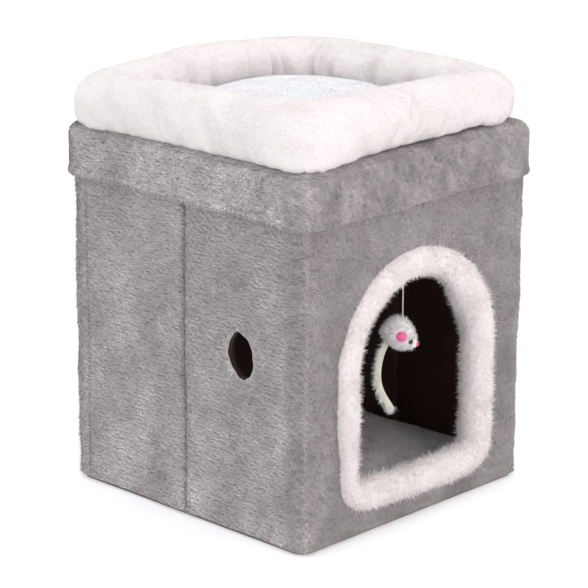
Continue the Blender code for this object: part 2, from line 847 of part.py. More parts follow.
def build_mouse(parts, cutters):
    """The mouse, its felt ears, bead eyes and nose, and its tail, cut to fit its body."""
    body = shape_mouse("mouse_body", 0.0, parts)
    seat = make_cutter(shape_mouse("mouse_seat", TOUCH_GAP, cutters))
    tail = build_tail(parts)
    pieces = [tail]
    for side, word in ((1, "left"), (-1, "right")):
        ear = add_bead(
            "mouse_ear_" + word,
            mouse_flank(EAR_FORWARD, EAR_BELOW_BACK, side),
            (EAR_RADIUS, EAR_BULGE, EAR_RADIUS),
            parts,
        )
        eye = add_bead(
            "mouse_eye_" + word,
            mouse_flank(EYE_FORWARD, EYE_BELOW_BACK, side),
            (EYE_RADIUS, EYE_RADIUS, EYE_RADIUS),
            parts,
        )
        give_material(ear, PINK_FELT)
        give_material(eye, BLACK_BEAD, 0.2)
        pieces += [ear, eye]
    snout = MOUSE_LENGTH * (1 - MOUSE_HANG_SHARE) - NOSE_TUCK
    middle, _, _ = mouse_section(1.0)
    nose = add_bead(
        "mouse_nose",
        (snout, 0.0, middle - mouse_back()),
        (NOSE_RADIUS, NOSE_RADIUS, NOSE_RADIUS),
        parts,
    )
    pieces.append(nose)
    for piece in pieces:
        cut(piece, seat)
    give_material(body, OFF_WHITE)
    give_material(tail, CREAM_LEATHER)
    give_material(nose, RED_BEAD, 0.25)
    return [body, seat] + pieces


def build_string(collection):
    """The string, straight down from its origin."""
    curve = bpy.data.curves.new("toy_string", "CURVE")
    curve.dimensions = "3D"
    curve.bevel_depth = STRING_DIAMETER / 2
    curve.bevel_resolution = 2
    curve.use_fill_caps = True
    steps = round(STRING_LENGTH / (2.5 * STRING_DIAMETER))
    spline = curve.splines.new("POLY")
    spline.points.add(steps)
    for step, point in enumerate(spline.points):
        point.co = (0.0, 0.0, -STRING_LENGTH * step / steps, 1.0)
    string = mesh_from_curve(add_object("toy_string", curve, collection), collection)
    shade_smooth(string, 80)
    return string


def build_toy(parts, cutters):
    """A thread loop under the arch, the string that hangs from it, and the mouse."""
    loop_z = trim_underside() - TOUCH_GAP - LOOP_RADIUS - LOOP_THREAD_RADIUS
    bpy.ops.mesh.primitive_torus_add(
        major_segments=16,
        minor_segments=8,
        major_radius=LOOP_RADIUS,
        minor_radius=LOOP_THREAD_RADIUS,
    )
    loop = take_primitive("toy_loop", parts)
    loop.rotation_euler = (math.radians(90), 0.0, 0.0)
    loop.location = (DOOR_CENTRE_X, TOY_Y, loop_z)
    shade_smooth(loop, 80)
    string = build_string(parts)
    string_top = loop_z - LOOP_RADIUS - LOOP_THREAD_RADIUS - TOUCH_GAP
    string.location = (DOOR_CENTRE_X, TOY_Y, string_top)
    give_material(loop, OFF_WHITE)
    give_material(string, OFF_WHITE)
    mouse = build_mouse(parts, cutters)
    hang = Vector((DOOR_CENTRE_X, TOY_Y, string_top - STRING_LENGTH - TOUCH_GAP))
    place = Matrix.Translation(hang) @ Matrix.Rotation(MOUSE_HEADING, 4, "Z")
    bpy.context.view_layer.update()
    for item in mouse:
        item.matrix_world = place @ item.matrix_world
    return loop, string, [item for item in mouse if not item.hide_render]


def pivot(name, place, parent, items):
    """An empty on a joint's axis that carries its pieces."""
    bpy.context.view_layer.update()
    empty = bpy.data.objects.new(name, None)
    empty.empty_display_size = 0.03
    bpy.context.scene.collection.objects.link(empty)
    empty.location = place
    bpy.context.view_layer.update()
    if parent:
        empty.parent = parent
        empty.matrix_parent_inverse = parent.matrix_world.inverted()
    bpy.context.view_layer.update()
    for item in items:
        item.parent = empty
        item.matrix_parent_inverse = empty.matrix_world.inverted()
    return empty


def main():
    clear_scene()
    parts = new_collection("cat_igloo_bed")
    cutters = new_collection("cutters")

    build_base(parts, cutters)
    build_end_wall("back", 1, parts)
    front = build_end_wall("front", -1, parts)
    left_rear = build_side_half("left_rear", -1, 1, parts)
    left_front = build_side_half("left_front", -1, -1, parts)
    right_rear = build_side_half("right_rear", 1, 1, parts)
    right_front = build_side_half("right_front", 1, -1, parts)
    cut_doorway(front, cutters)
    cut_peephole(left_front, cutters)
    trim = build_trim(parts)
    lid = build_lid(parts)
    bed, cushion = build_bed(parts)
    mat = build_mat(parts)
    loop, string, mouse = build_toy(parts, cutters)

    left_fold = pivot("wall_fold_axis", (-HINGE_X, HINGE_Y, 0.0), None, left_rear)
    left_crease = pivot("left_crease_axis", (-HALF_WIDTH, 0.0, 0.0), left_fold, left_front)
    front_fold = pivot(
        "front_fold_axis", (-HINGE_X, -HINGE_Y, 0.0), left_crease, front + [trim]
    )
    right_fold = pivot("right_fold_axis", (HINGE_X, HINGE_Y, 0.0), None, right_rear)
    pivot("right_crease_axis", (HALF_WIDTH, 0.0, 0.0), right_fold, right_front)
    lid_axis = pivot("lid_lift_axis", (0.0, 0.0, LID_LINING_BOTTOM), None, lid + bed)
    pivot("cushion_lift_axis", (0.0, 0.0, CUSHION_BOTTOM), lid_axis, [cushion])
    pivot("mat_lift_axis", (0.0, 0.0, BASE_TOP), None, [mat])
    sway = pivot("toy_sway_axis", (DOOR_CENTRE_X, TOY_Y, trim_underside()), front_fold, [loop])
    swing = pivot("toy_swing_axis", loop.location, sway, [string])
    pivot("mouse_turn_axis", mouse[0].matrix_world.translation, swing, mouse)


main()
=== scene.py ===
"""Looks of the foldable cat house: plush walls, bolster bed, stuffed doorway and toy mouse."""

import json
import math
from dataclasses import dataclass

import bmesh
import bpy
import numpy as np
from mathutils import Matrix, Vector


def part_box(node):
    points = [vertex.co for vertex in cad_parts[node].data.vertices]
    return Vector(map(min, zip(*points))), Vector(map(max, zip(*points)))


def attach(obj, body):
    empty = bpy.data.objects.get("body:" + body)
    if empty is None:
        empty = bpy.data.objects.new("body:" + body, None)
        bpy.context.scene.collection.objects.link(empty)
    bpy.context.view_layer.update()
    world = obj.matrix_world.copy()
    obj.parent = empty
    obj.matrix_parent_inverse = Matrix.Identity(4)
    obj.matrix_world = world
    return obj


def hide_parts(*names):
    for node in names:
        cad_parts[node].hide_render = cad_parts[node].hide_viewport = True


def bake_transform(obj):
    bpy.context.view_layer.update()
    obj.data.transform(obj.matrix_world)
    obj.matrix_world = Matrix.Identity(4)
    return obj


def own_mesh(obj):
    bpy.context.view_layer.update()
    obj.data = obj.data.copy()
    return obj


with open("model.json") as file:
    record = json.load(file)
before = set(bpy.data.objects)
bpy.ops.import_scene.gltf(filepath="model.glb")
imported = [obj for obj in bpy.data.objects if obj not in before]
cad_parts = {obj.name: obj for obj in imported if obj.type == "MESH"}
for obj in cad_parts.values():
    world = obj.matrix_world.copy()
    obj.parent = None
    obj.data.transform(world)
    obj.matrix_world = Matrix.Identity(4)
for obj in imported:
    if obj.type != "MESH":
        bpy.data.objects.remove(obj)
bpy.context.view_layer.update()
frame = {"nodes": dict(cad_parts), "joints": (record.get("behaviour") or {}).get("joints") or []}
NODES = frame["nodes"]
JOINTS = {joint["name"]: joint for joint in frame["joints"]}

# Sizes, read from the frame where it gives them
WALL_LOW, WALL_HIGH = (corner.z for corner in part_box("front_plush"))
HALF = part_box("front_plush")[1].x
HINGE = JOINTS["right_fold"]["pos_m"][0]
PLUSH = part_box("left_rear_plush")[1].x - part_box("left_rear_plush")[0].x
LINING_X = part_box("right_rear_lining")[0].x
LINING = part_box("right_rear_lining")[1].x - LINING_X
CREASE_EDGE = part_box("left_rear_plush")[0].y
PILE_ROOM = 0.0014  # how far the cloth under the pile lies inside the solid's face
SKIRT_LOW, SKIRT_HIGH = (corner.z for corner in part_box("lid_skirt"))
SKIRT_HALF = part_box("lid_skirt")[1].x
SKIRT_CLEARANCE = 0.0030  # from the walls' face to the inside of the skirt
SKIRT_ROOM = 0.0022  # how far the skirt's cloth lies inside its solid
SKIRT_INNER = HALF + SKIRT_CLEARANCE
TRIM_LOW, TRIM_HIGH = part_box("door_trim")
DOOR_X = (TRIM_LOW.x + TRIM_HIGH.x) / 2
TRIM_HALF_WIDTH = 0.0210
FUR_ROOM = 0.0025  # how far the roll's cloth lies inside its solid
TRIM_HALF_DEPTH = (TRIM_HIGH.y - TRIM_LOW.y) / 2
TRIM_Y = (TRIM_LOW.y + TRIM_HIGH.y) / 2
DOOR_HALF = (TRIM_HIGH.x - TRIM_LOW.x) / 2 - TRIM_HALF_WIDTH
DOOR_SILL = TRIM_LOW.z + TRIM_HALF_WIDTH
DOOR_SPRING = TRIM_HIGH.z - TRIM_HALF_WIDTH - DOOR_HALF
DOOR_CORNER = 0.0230
PEEPHOLE = Vector((-HALF, -HALF + 0.1030, 0.2250))
PEEPHOLE_HALF_WIDTH = 0.0200
PEEPHOLE_HALF_HEIGHT = 0.0280
PEEPHOLE_LEAN = math.radians(-13)

GRID = 0.0045  # size of the faces under the plush


@dataclass(frozen=True)
class Nap:
    """How the pile of a cloth lies, with sizes in metres."""

    density: float  # blades to a square millimetre
    length: float
    width: float
    lift: float  # degrees off the cloth
    stray: float = 0.3
    contrast: float = 0.4  # between tufts and between blades
    tuft: float = 0.006
    patch: float = 0.0  # contrast between crushed patches
    patch_size: float = 0.03
    shade: float = 1.0  # painted shade: how light it is painted where it faces the front or the back
    light: float = 1.0  # painted light: how light it is painted all over


# The walls, skirt and hem share one grey plush. light paints the skirt lighter than the walls
# and the hem's rim lighter still, as painted light, and shade paints the front and back darker,
# as painted shade.
SIDE_NAP = Nap(0.62, 0.0066, 0.0009, 9, 0.10, 0.85, 0.009, 0.24, 0.045, 0.50, 0.82)
FRONT_NAP = Nap(0.60, 0.0040, 0.0010, 24, 0.35, 0.95, 0.006, 0.26, 0.045, 0.45, 0.86)
SKIRT_NAP = Nap(0.62, 0.0066, 0.0010, 10, 0.10, 0.85, 0.009, 0.34, 0.032, 0.48, 1.04)
HEM_NAP = Nap(0.60, 0.0040, 0.0010, 25, 0.35, 0.30, shade=0.6, light=1.1)
BOLSTER_NAP = Nap(0.90, 0.0030, 0.0006, 15, 0.35, 0.08)
TRIM_NAP = Nap(0.90, 0.0042, 0.0006, 24, 0.45, 0.08)
HALO_NAP = Nap(0.14, 0.0080, 0.0008, 46, 0.70, 0.08)
FLEECE_NAP = Nap(0.70, 0.0020, 0.0008, 50, 1.0, 0.30, 0.003)
MAT_NAP = Nap(0.30, 0.0026, 0.0010, 40, 0.8, 0.40)
MOUSE_NAP = Nap(0.90, 0.0062, 0.0008, 34, 0.38, 0.30, 0.003)
TAIL_NAP = Nap(2.0, 0.0075, 0.0007, 40, 0.40, 0.25, 0.003)


# Shapes


def link(item):
    """The object, put into the scene."""
    bpy.context.scene.collection.objects.link(item)
    return item


def mesh_object(name, points, faces):
    """An object from arrays or lists of points and faces."""
    mesh = bpy.data.meshes.new(name)
    mesh.from_pydata([tuple(point) for point in points], [], [list(f) for f in faces])
    mesh.update()
    item = link(bpy.data.objects.new(name, mesh))
    shape = bmesh.new()
    shape.from_mesh(mesh)
    bmesh.ops.recalc_face_normals(shape, faces=shape.faces)
    for edge in shape.edges:
        if len(edge.link_faces) == 2 and edge.calc_face_angle() > 1.0:
            edge.smooth = False
    shape.to_mesh(mesh)
    shape.free()
    mesh.shade_smooth()
    return item


def positions(mesh):
    """A mesh's points as rows of an array."""
    points = np.zeros(len(mesh.vertices) * 3)
    mesh.vertices.foreach_get("co", points)
    return points.reshape(-1, 3)


def bell(value, middle, width):
    """1 at the middle, falling off smoothly to both sides."""
    return math.exp(-(((value - middle) / width) ** 2))


def circle(steps):
    """Angles once round."""
    return np.linspace(0, 2 * math.pi, steps, endpoint=False)


def unit(value):
    """A value held between 0 and 1."""
    return np.clip(value, 0, 1)


def crossways(normals):
    """Level directions along a surface, to the left of its normals."""
    return np.stack([-normals[:, 1], normals[:, 0], np.zeros(len(normals))], axis=1)


def waves(points, size, seed):
    """Smooth noise between about -1 and 1, with features of a size in metres."""
    rng = np.random.default_rng(seed)
    total = np.zeros(len(points))
    for _ in range(9):
        direction = rng.normal(size=3)
        direction /= np.linalg.norm(direction)
        pitch = 2 * math.pi / (size * rng.uniform(0.7, 1.9))
        total += np.sin(points @ direction * pitch + rng.uniform(0, 2 * math.pi))
    return total / 3.2


def arc(centre, radius, start, end, steps):
    """Stations round an arc in plan, each with its outward normal."""
    stations = []
    for step in range(steps + 1):
        turn = math.radians(start + (end - start) * step / steps)
        c, s = math.cos(turn), math.sin(turn)
        stations.append((centre[0] + radius * c, centre[1] + radius * s, c, s))
    return stations


def line(start, end, normal, step=GRID):
    """Stations along a straight run in plan."""
    count = max(1, round(math.dist(start, end) / step))
    stations = []
    for number in range(count + 1):
        share = number / count
        x = start[0] + (end[0] - start[0]) * share
        y = start[1] + (end[1] - start[1]) * share
        stations.append((x, y, *normal))
    return stations


def joined(*runs):
    """Runs of stations as one, without the points that they share."""
    stations = list(runs[0])
    for run in runs[1:]:
        shared = math.dist(run[0][:2], stations[-1][:2]) < 1e-6
        stations += run[1:] if shared else run
    return stations


def slab_section(thickness, low, high, rounding, step=GRID):
    """Depth and height round a slab's section: up its outer face, down its inner one."""
    points = []
    bend = 4
    for number in range(bend + 1):
        turn = math.pi / 2 * (1 - number / bend)
        points.append((rounding * math.sin(turn), low + rounding * (1 - math.cos(turn))))
    count = max(1, round((high - low - 2 * rounding) / step))
    for number in range(1, count):
        points.append((0.0, low + rounding + (high - low - 2 * rounding) * number / count))
    for number in range(bend + 1):
        turn = math.pi / 2 * number / bend
        points.append((rounding * (1 - math.cos(turn)), high - rounding * (1 - math.sin(turn))))
    return points + [(thickness, high), (thickness, low)]


def sleeve(name, stations, section, displace=None):
    """A closed slab that follows stations in plan, with a section of depths and heights."""
    stations = np.array(stations)
    section = np.array(section)
    rows, columns = len(stations), len(section)
    depth = section[:, 0][None, :]
    points = np.zeros((rows, columns, 3))
    points[:, :, 0] = stations[:, 0][:, None] - stations[:, 2][:, None] * depth
    points[:, :, 1] = stations[:, 1][:, None] - stations[:, 3][:, None] * depth
    points[:, :, 2] = section[:, 1][None, :]
    if displace:
        normals = np.zeros_like(points)
        normals[:, :, 0] = stations[:, 2][:, None]
        normals[:, :, 1] = stations[:, 3][:, None]
        flat = points.reshape(-1, 3)
        outer = unit(1 - np.repeat(depth, rows, 0).ravel() / 0.003)
        move = displace(flat) * outer
        points = (flat + normals.reshape(-1, 3) * move[:, None]).reshape(points.shape)
    return loop_mesh(name, points, closed=False)


def loop_mesh(name, rings, closed=True):
    """A mesh through rings of points, closed on itself or capped at its ends."""
    rings = np.array(rings)
    rows, columns = rings.shape[:2]
    faces = []
    for row in range(rows if closed else rows - 1):
        a, b = row * columns, ((row + 1) % rows) * columns
        for column in range(columns):
            following = (column + 1) % columns
            faces.append((a + column, b + column, b + following, a + following))
    if not closed:
        faces.append(list(range(columns)))
        faces.append(list(range((rows - 1) * columns, rows * columns))[::-1])
    return mesh_object(name, rings.reshape(-1, 3), faces)


def applied(item):
    """Makes an object's modifiers part of its mesh."""
    bpy.context.view_layer.update()
    evaluated = item.evaluated_get(bpy.context.evaluated_depsgraph_get())
    mesh = bpy.data.meshes.new_from_object(evaluated)
    item.modifiers.clear()
    item.data = mesh
    mesh.name = item.name


def cut(item, outline, place):
    """Cuts a prism of a flat outline, set upright by place, through an object."""
    count = len(outline)
    points = [(x, y, z) for z in (-0.03, 0.03) for x, y in outline]
    faces = [tuple(range(count))[::-1], tuple(range(count, 2 * count))]
    for number in range(count):
        following = (number + 1) % count
        faces.append((number, following, count + following, count + number))
    cutter = mesh_object(item.name + "_cutter", points, faces)
    cutter.matrix_world = place
    modifier = item.modifiers.new("opening", "BOOLEAN")
    modifier.operation = "DIFFERENCE"
    modifier.solver = "EXACT"
    modifier.object = cutter
    applied(item)
    bpy.data.objects.remove(cutter, do_unlink=True)


def door_path(offset, step):
    """The doorway's outline in X and Z from its middle, moved out from the trim's line."""
    points = []

    def run(x0, z0, x1, z1):
        count = max(1, round(math.hypot(x1 - x0, z1 - z0) / step))
        for number in range(count):
            share = number / count
            points.append((x0 + (x1 - x0) * share, z0 + (z1 - z0) * share))

    def bend(x, z, radius, start, end):
        count = max(3, round(abs(math.radians(end - start)) * radius / step))
        for number in range(count):
            turn = math.radians(start + (end - start) * number / count)
            points.append((x + radius * math.cos(turn), z + radius * math.sin(turn)))

    half, corner = DOOR_HALF + offset, max(DOOR_CORNER + offset, 0.001)
    inner = DOOR_HALF + offset - corner
    low = DOOR_SILL - offset + corner
    bend(inner, low, corner, -90, 0)
    run(half, low, half, DOOR_SPRING)
    bend(0.0, DOOR_SPRING, half, 0, 180)
    run(-half, DOOR_SPRING, -half, low)
    bend(-inner, low, corner, 180, 270)
    run(-inner, DOOR_SILL - offset, inner, DOOR_SILL - offset)
    return points


def peephole_path(margin):
    """The peephole's leaning lens, in Y and Z from its middle, with a ragged edge."""
    steps = 48
    c, s = math.cos(PEEPHOLE_LEAN), math.sin(PEEPHOLE_LEAN)
    points = []
    for number in range(steps):
        turn = 2 * math.pi * number / steps
        ragged = 0.0006 * math.sin(5 * turn + 1) + 0.0004 * math.sin(11 * turn)
        across = math.copysign(abs(math.cos(turn)) ** 1.25, math.cos(turn))
        y = (PEEPHOLE_HALF_WIDTH + margin + ragged) * across
        z = (PEEPHOLE_HALF_HEIGHT + margin + ragged) * math.sin(turn)
        points.append((y * c - z * s, y * s + z * c))
    return points


def surface_samples(mesh, density, rng, where):
    """Random points on a mesh's faces, so many to a square millimetre, and their normals."""
    mesh.calc_loop_triangles()
    corners = np.zeros(len(mesh.loop_triangles) * 3, np.int32)
    mesh.loop_triangles.foreach_get("vertices", corners)
    corners = corners.reshape(-1, 3)
    points = positions(mesh)
    a, b, c = (points[corners[:, n]] for n in range(3))
    normals = np.cross(b - a, c - a)
    doubled = np.linalg.norm(normals, axis=1)
    normals /= doubled[:, None] + 1e-15
    weight = doubled / 2 * where((a + b + c) / 3, normals)
    count = int(weight.sum() * 1e6 * density)
    chosen = rng.choice(len(corners), size=count, p=weight / weight.sum())
    share = rng.random((count, 2))
    over = share.sum(1) > 1
    share[over] = 1 - share[over]
    u, v = share[:, :1], share[:, 1:]
    root = a[chosen] * (1 - u - v) + b[chosen] * u + c[chosen] * v
    return root, normals[chosen]


def corner_ridge(points, middle, width):
    """1 along a line down each corner's arc, at and over so many degrees, and 0 elsewhere."""
    beyond = np.maximum(np.abs(points[:, :2]) - HINGE, 0)
    turn = np.degrees(np.arctan2(beyond[:, 1], beyond[:, 0]))
    return (beyond.min(1) > 0) * np.exp(-(((turn - middle) / width) ** 2))


def level(points, normals, nap):
    """Painted light and shade on a nap: darker towards the front and back and near the front
    corners, lighter towards the bottom of the sides, with a painted highlight down each corner.
    """
    turned = unit((-points[:, 1] - HALF + 0.034) / 0.008)
    sideways = np.abs(normals[:, 0]) * (1 - 0.6 * turned)
    low = np.clip(0.28 - points[:, 2], -0.06, 0.3)
    ridge = corner_ridge(points, 50, 7)
    # painted shade towards the front and back, painted light low on the sides, painted highlight
    # on the corners' ridges
    light = 1 - (1 - nap.shade) * (1 - sideways) + 1.1 * low * sideways + 0.25 * ridge
    return nap.light * light, sideways


def pile(base, nap, flow, seed, where):
    """Blades of pile that stand on a mesh and lie along flow(points, normals).

    Each blade holds its shade for the material to read: the painted light and shade of
    level, painted dark at the root as the shade between blades, and alike within a tuft.
    where(points, normals) says how densely the pile stands, 1 for fully. Pile that faces
    left or right has more contrast, as it catches the light aslant.
    """
    rng = np.random.default_rng(seed)
    mesh = base.data
    root, up = surface_samples(mesh, nap.density, rng, where)
    count = len(root)
    along = flow(root, up) + rng.normal(size=(count, 3)) * nap.stray
    along -= up * (along * up).sum(1)[:, None]
    along /= np.linalg.norm(along, axis=1)[:, None] + 1e-12
    rise = np.radians(nap.lift) * rng.uniform(0.4, 1.6, count)[:, None]
    reach = nap.length * rng.uniform(0.6, 1.15, count)[:, None]
    tip = root + along * np.cos(rise) * reach + up * np.sin(rise) * reach
    roll = rng.uniform(-0.6, 0.6, count)[:, None]
    side = np.cross(up, along)
    half = (side * np.cos(roll) + up * np.sin(roll)) * nap.width / 2
    half *= rng.uniform(0.7, 1.3, count)[:, None]
    foot = root - up * 0.0003
    blades = np.stack([foot - half, foot + half, tip], axis=1).reshape(-1, 3)
    made = bpy.data.meshes.new(base.name + "_pile")
    made.vertices.add(count * 3)
    made.vertices.foreach_set("co", blades.ravel())
    made.loops.add(count * 3)
    made.loops.foreach_set("vertex_index", np.arange(count * 3, dtype=np.int32))
    made.polygons.add(count)
    made.polygons.foreach_set("loop_start", np.arange(0, count * 3, 3, dtype=np.int32))
    made.update(calc_edges=True)
    light, sideways = level(root, up, nap)
    squeeze = np.stack([np.ones(count), np.ones(count), 1 + 5 * sideways], axis=1)
    contrast = nap.contrast * (0.5 + 0.5 * sideways)
    tufts = waves(root * squeeze, nap.tuft, 71) + 0.6 * waves(root * squeeze, nap.tuft / 2, 74)
    tufts = np.where(tufts > 0, 0.4 * tufts, tufts)
    tone = light * (1 + contrast * (tufts + 0.5 * rng.uniform(-1, 1, count))).clip(0.05)
    patches = waves(root * (1, 1, 0.6), nap.patch_size, 72)
    patches += 0.6 * waves(root, nap.patch_size / 3, 73)
    tone *= 1 + nap.patch * patches
    # painted shade: each blade is darker at its root than at its tip, as the shade between
    # blades
    shade = np.stack([tone * 0.65, tone * 0.65, tone * 1.15], axis=1).ravel()
    made.attributes.new("nap", "FLOAT", "POINT").data.foreach_set("value", shade)
    # the cloth under the pile gets the same painted light and shade, darker, as painted shade
    # under the blades
    if "nap" not in mesh.attributes:
        normals = np.zeros(len(mesh.vertices) * 3)
        mesh.vertices.foreach_get("normal", normals)
        ground = 0.62 * level(positions(mesh), normals.reshape(-1, 3), nap)[0]
        mesh.attributes.new("nap", "FLOAT", "POINT").data.foreach_set("value", ground)
    item = link(bpy.data.objects.new(base.name + "_pile", made))
    for material in mesh.materials:
        made.materials.append(material)
    return item


# Materials


def fill(node, **values):
    """Sets a node's inputs, where an underscore in a name stands for a space."""
    for name, value in values.items():
        node.inputs[name.replace("_", " ")].default_value = value


class Shader:
    """A Principled material with short ways to add and join nodes."""

    def __init__(self, name, roughness=0.9, sheen=0.0, specular=0.3):
        self.material = bpy.data.materials.new(name)
        self.material.use_nodes = True
        self.tree = self.material.node_tree
        self.principled = self.tree.nodes["Principled BSDF"]
        fill(self.principled, Roughness=roughness, Sheen_Weight=sheen,
             Sheen_Roughness=0.5, Specular_IOR_Level=specular)
        self.place = self.add("ShaderNodeTexCoord").outputs["Object"]

    def add(self, kind, **values):
        node = self.tree.nodes.new(kind)
        for name, value in values.items():
            setattr(node, name, value)
        return node

    def join(self, output, target):
        self.tree.links.new(output, target)

    def noise(self, scale, detail=3.0, roughness=0.5, stretch=(1, 1, 1), distortion=0.0):
        """Noise with so many features to a metre, finer along an axis with more stretch."""
        mapping = self.add("ShaderNodeMapping")
        fill(mapping, Scale=stretch)
        texture = self.add("ShaderNodeTexNoise")
        fill(texture, Scale=scale, Detail=detail, Roughness=roughness, Distortion=distortion)
        self.join(self.place, mapping.inputs["Vector"])
        self.join(mapping.outputs["Vector"], texture.inputs["Vector"])
        return texture.outputs["Fac"]

    def ramp(self, factor, *stops):
        """Colours at positions along a factor."""
        node = self.add("ShaderNodeValToRGB")
        elements = node.color_ramp.elements
        while len(elements) < len(stops):
            elements.new(0.5)
        for element, (position, colour) in zip(elements, stops):
            element.position = position
            element.color = (*colour, 1.0)
        self.join(factor, node.inputs["Fac"])
        return node.outputs["Color"]

    def mix(self, first, second, factor, blend="MULTIPLY"):
        node = self.add("ShaderNodeMix", data_type="RGBA", blend_type=blend)
        fill(node, Factor=factor)
        self.join(first, node.inputs["A"])
        self.join(second, node.inputs["B"])
        return node.outputs["Result"]

    def colour(self, output):
        self.join(output, self.principled.inputs["Base Color"])

    def bump(self, height, distance, strength=1.0):
        node = self.add("ShaderNodeBump")
        fill(node, Distance=distance, Strength=strength)
        self.join(height, node.inputs["Height"])
        self.join(node.outputs["Normal"], self.principled.inputs["Normal"])


def plush_material(name, dark, middle, light, patch, fleck, grain, root, depth, flat=1.0):
    """Crushed pile: soft patches of light and dark, flecks along the nap, and the painted light
    and shade that the pile's nap attribute holds, with roots painted dark as the shade between
    blades.

    patch and grain say how fine the patches and flecks are, flat how much wider than tall
    the flecks are, and root how light the darkest pile is painted, where its painted shade is
    deepest.
    """
    shader = Shader(name, 0.9, 0.2)
    patches = shader.noise(patch, 3.0, 0.5, (1.0, 1.0, 0.8), 0.8)
    colour = shader.ramp(patches, (0.30, dark), (0.50, middle), (0.70, light))
    nap = shader.noise(grain, 2.0, 0.6, (1.0, 1.0, flat))
    flecks = shader.ramp(nap, (0.34, (1 - fleck,) * 3), (0.66, (1 + fleck,) * 3))
    colour = shader.mix(colour, flecks, 1.0)
    blade = shader.add("ShaderNodeAttribute", attribute_name="nap")
    shade = shader.add("ShaderNodeMapRange", clamp=False)
    fill(shade, To_Min=root)
    shader.join(blade.outputs["Fac"], shade.inputs["Value"])
    colour = shader.mix(colour, shade.outputs["Result"], 1.0)
    shader.colour(colour)
    shader.bump(nap, depth)
    return shader.material


def cloth_material(name, dark, light, thread=1400.0):
    """A plain weave with a slight change of colour over it."""
    shader = Shader(name, 0.85, 0.1)
    colour = shader.ramp(shader.noise(14.0, 4.0), (0.35, dark), (0.65, light))
    threads = []
    for axis in ("X", "Z"):
        wave = shader.add("ShaderNodeTexWave", bands_direction=axis)
        fill(wave, Scale=thread / 20, Distortion=0.6)
        shader.join(shader.place, wave.inputs["Vector"])
        threads.append(wave.outputs["Color"])
    weave = shader.mix(*threads, 0.5, "MIX")
    colour = shader.mix(colour, weave, 0.25)
    shader.colour(colour)
    shader.bump(weave, 0.0003, 0.6)
    return shader.material


def board_material():
    shader = Shader("fibreboard", 0.85)
    fibres = shader.noise(900.0, 5.0, 0.6)
    dark, light = (0.030, 0.016, 0.012), (0.055, 0.030, 0.024)
    shader.colour(shader.ramp(fibres, (0.3, dark), (0.7, light)))
    shader.bump(fibres, 0.0002)
    return shader.material


def bead_material(name, dark, light):
    shader = Shader(name, 0.18, specular=0.5)
    fill(shader.principled, Coat_Weight=0.5)
    shader.colour(shader.ramp(shader.noise(500.0, 2.0), (0.3, dark), (0.7, light)))
    return shader.material


GREY_PLUSH = plush_material(
    "grey_plush", (0.53, 0.481, 0.485), (0.61, 0.558, 0.562), (0.69, 0.636, 0.641),
    14.0, 0.12, 260.0, 0.36, 0.0012, 3.0)
WHITE_PLUSH = plush_material(
    "white_plush", (0.82, 0.765, 0.757), (0.86, 0.811, 0.804), (0.89, 0.848, 0.840),
    14.0, 0.015, 300.0, 0.97, 0.0004, 1.6)
# painted light: a lighter copy of the white plush for the doorway's roll, making up for the
# shade its own pile casts
LIT_TRIM_PLUSH = plush_material(
    "lit_trim_plush", (0.89, 0.835, 0.825), (0.92, 0.870, 0.862), (0.945, 0.902, 0.895),
    14.0, 0.015, 300.0, 0.97, 0.0004, 1.6)
WHITE_FLEECE = plush_material(
    "white_fleece", (0.880, 0.875, 0.892), (0.895, 0.890, 0.907), (0.91, 0.905, 0.922),
    40.0, 0.03, 700.0, 0.96, 0.0005)
# painted light: the mat's fleece is a lighter grey than the walls' plush, standing in for light
# that reaches the floor inside
GREY_FLEECE = plush_material(
    "grey_fleece", (0.58, 0.545, 0.555), (0.68, 0.645, 0.655), (0.78, 0.745, 0.755),
    24.0, 0.16, 420.0, 1.0, 0.0012)
MOUSE_FUR = plush_material(
    "mouse_fur", (0.86, 0.84, 0.82), (0.91, 0.895, 0.88), (0.94, 0.93, 0.92),
    120.0, 0.05, 900.0, 0.90, 0.0004)
PINK_FELT = plush_material(
    "pink_felt", (0.80, 0.07, 0.26), (0.93, 0.13, 0.36), (0.97, 0.22, 0.45),
    200.0, 0.08, 1500.0, 1.0, 0.0002)
SUEDE = plush_material(
    "suede", (0.66, 0.63, 0.52), (0.76, 0.73, 0.62), (0.83, 0.81, 0.71),
    150.0, 0.05, 1400.0, 1.0, 0.0002)
BROWN_CLOTH = cloth_material("brown_cloth", (0.036, 0.014, 0.011), (0.060, 0.026, 0.021))
# painted light: a lighter copy of the brown cloth for the rear lining, which catches more light
LIT_BROWN_CLOTH = cloth_material("lit_brown_cloth", (0.070, 0.034, 0.028), (0.105, 0.052, 0.043))
THREAD = cloth_material("thread", (0.74, 0.73, 0.70), (0.84, 0.83, 0.80), 8000.0)
FIBREBOARD = board_material()
BLACK_BEAD = bead_material("black_bead", (0.006, 0.006, 0.007), (0.02, 0.02, 0.022))
RED_BEAD = bead_material("red_bead", (0.62, 0.02, 0.015), (0.80, 0.05, 0.03))


def dress(item, material):
    """Gives an object one material."""
    item.data.materials.clear()
    item.data.materials.append(material)


# Walls


def wall_ripple(points):
    """Soft waves in the cloth, with a ridge down each corner where it folds."""
    folded = corner_ridge(points, 52, 11)
    ripple = 0.0009 * waves(points, 0.11, 3) + 0.0004 * waves(points, 0.035, 4)
    return ripple + 0.0018 * folded * (1 + 0.4 * waves(points, 0.05, 5))


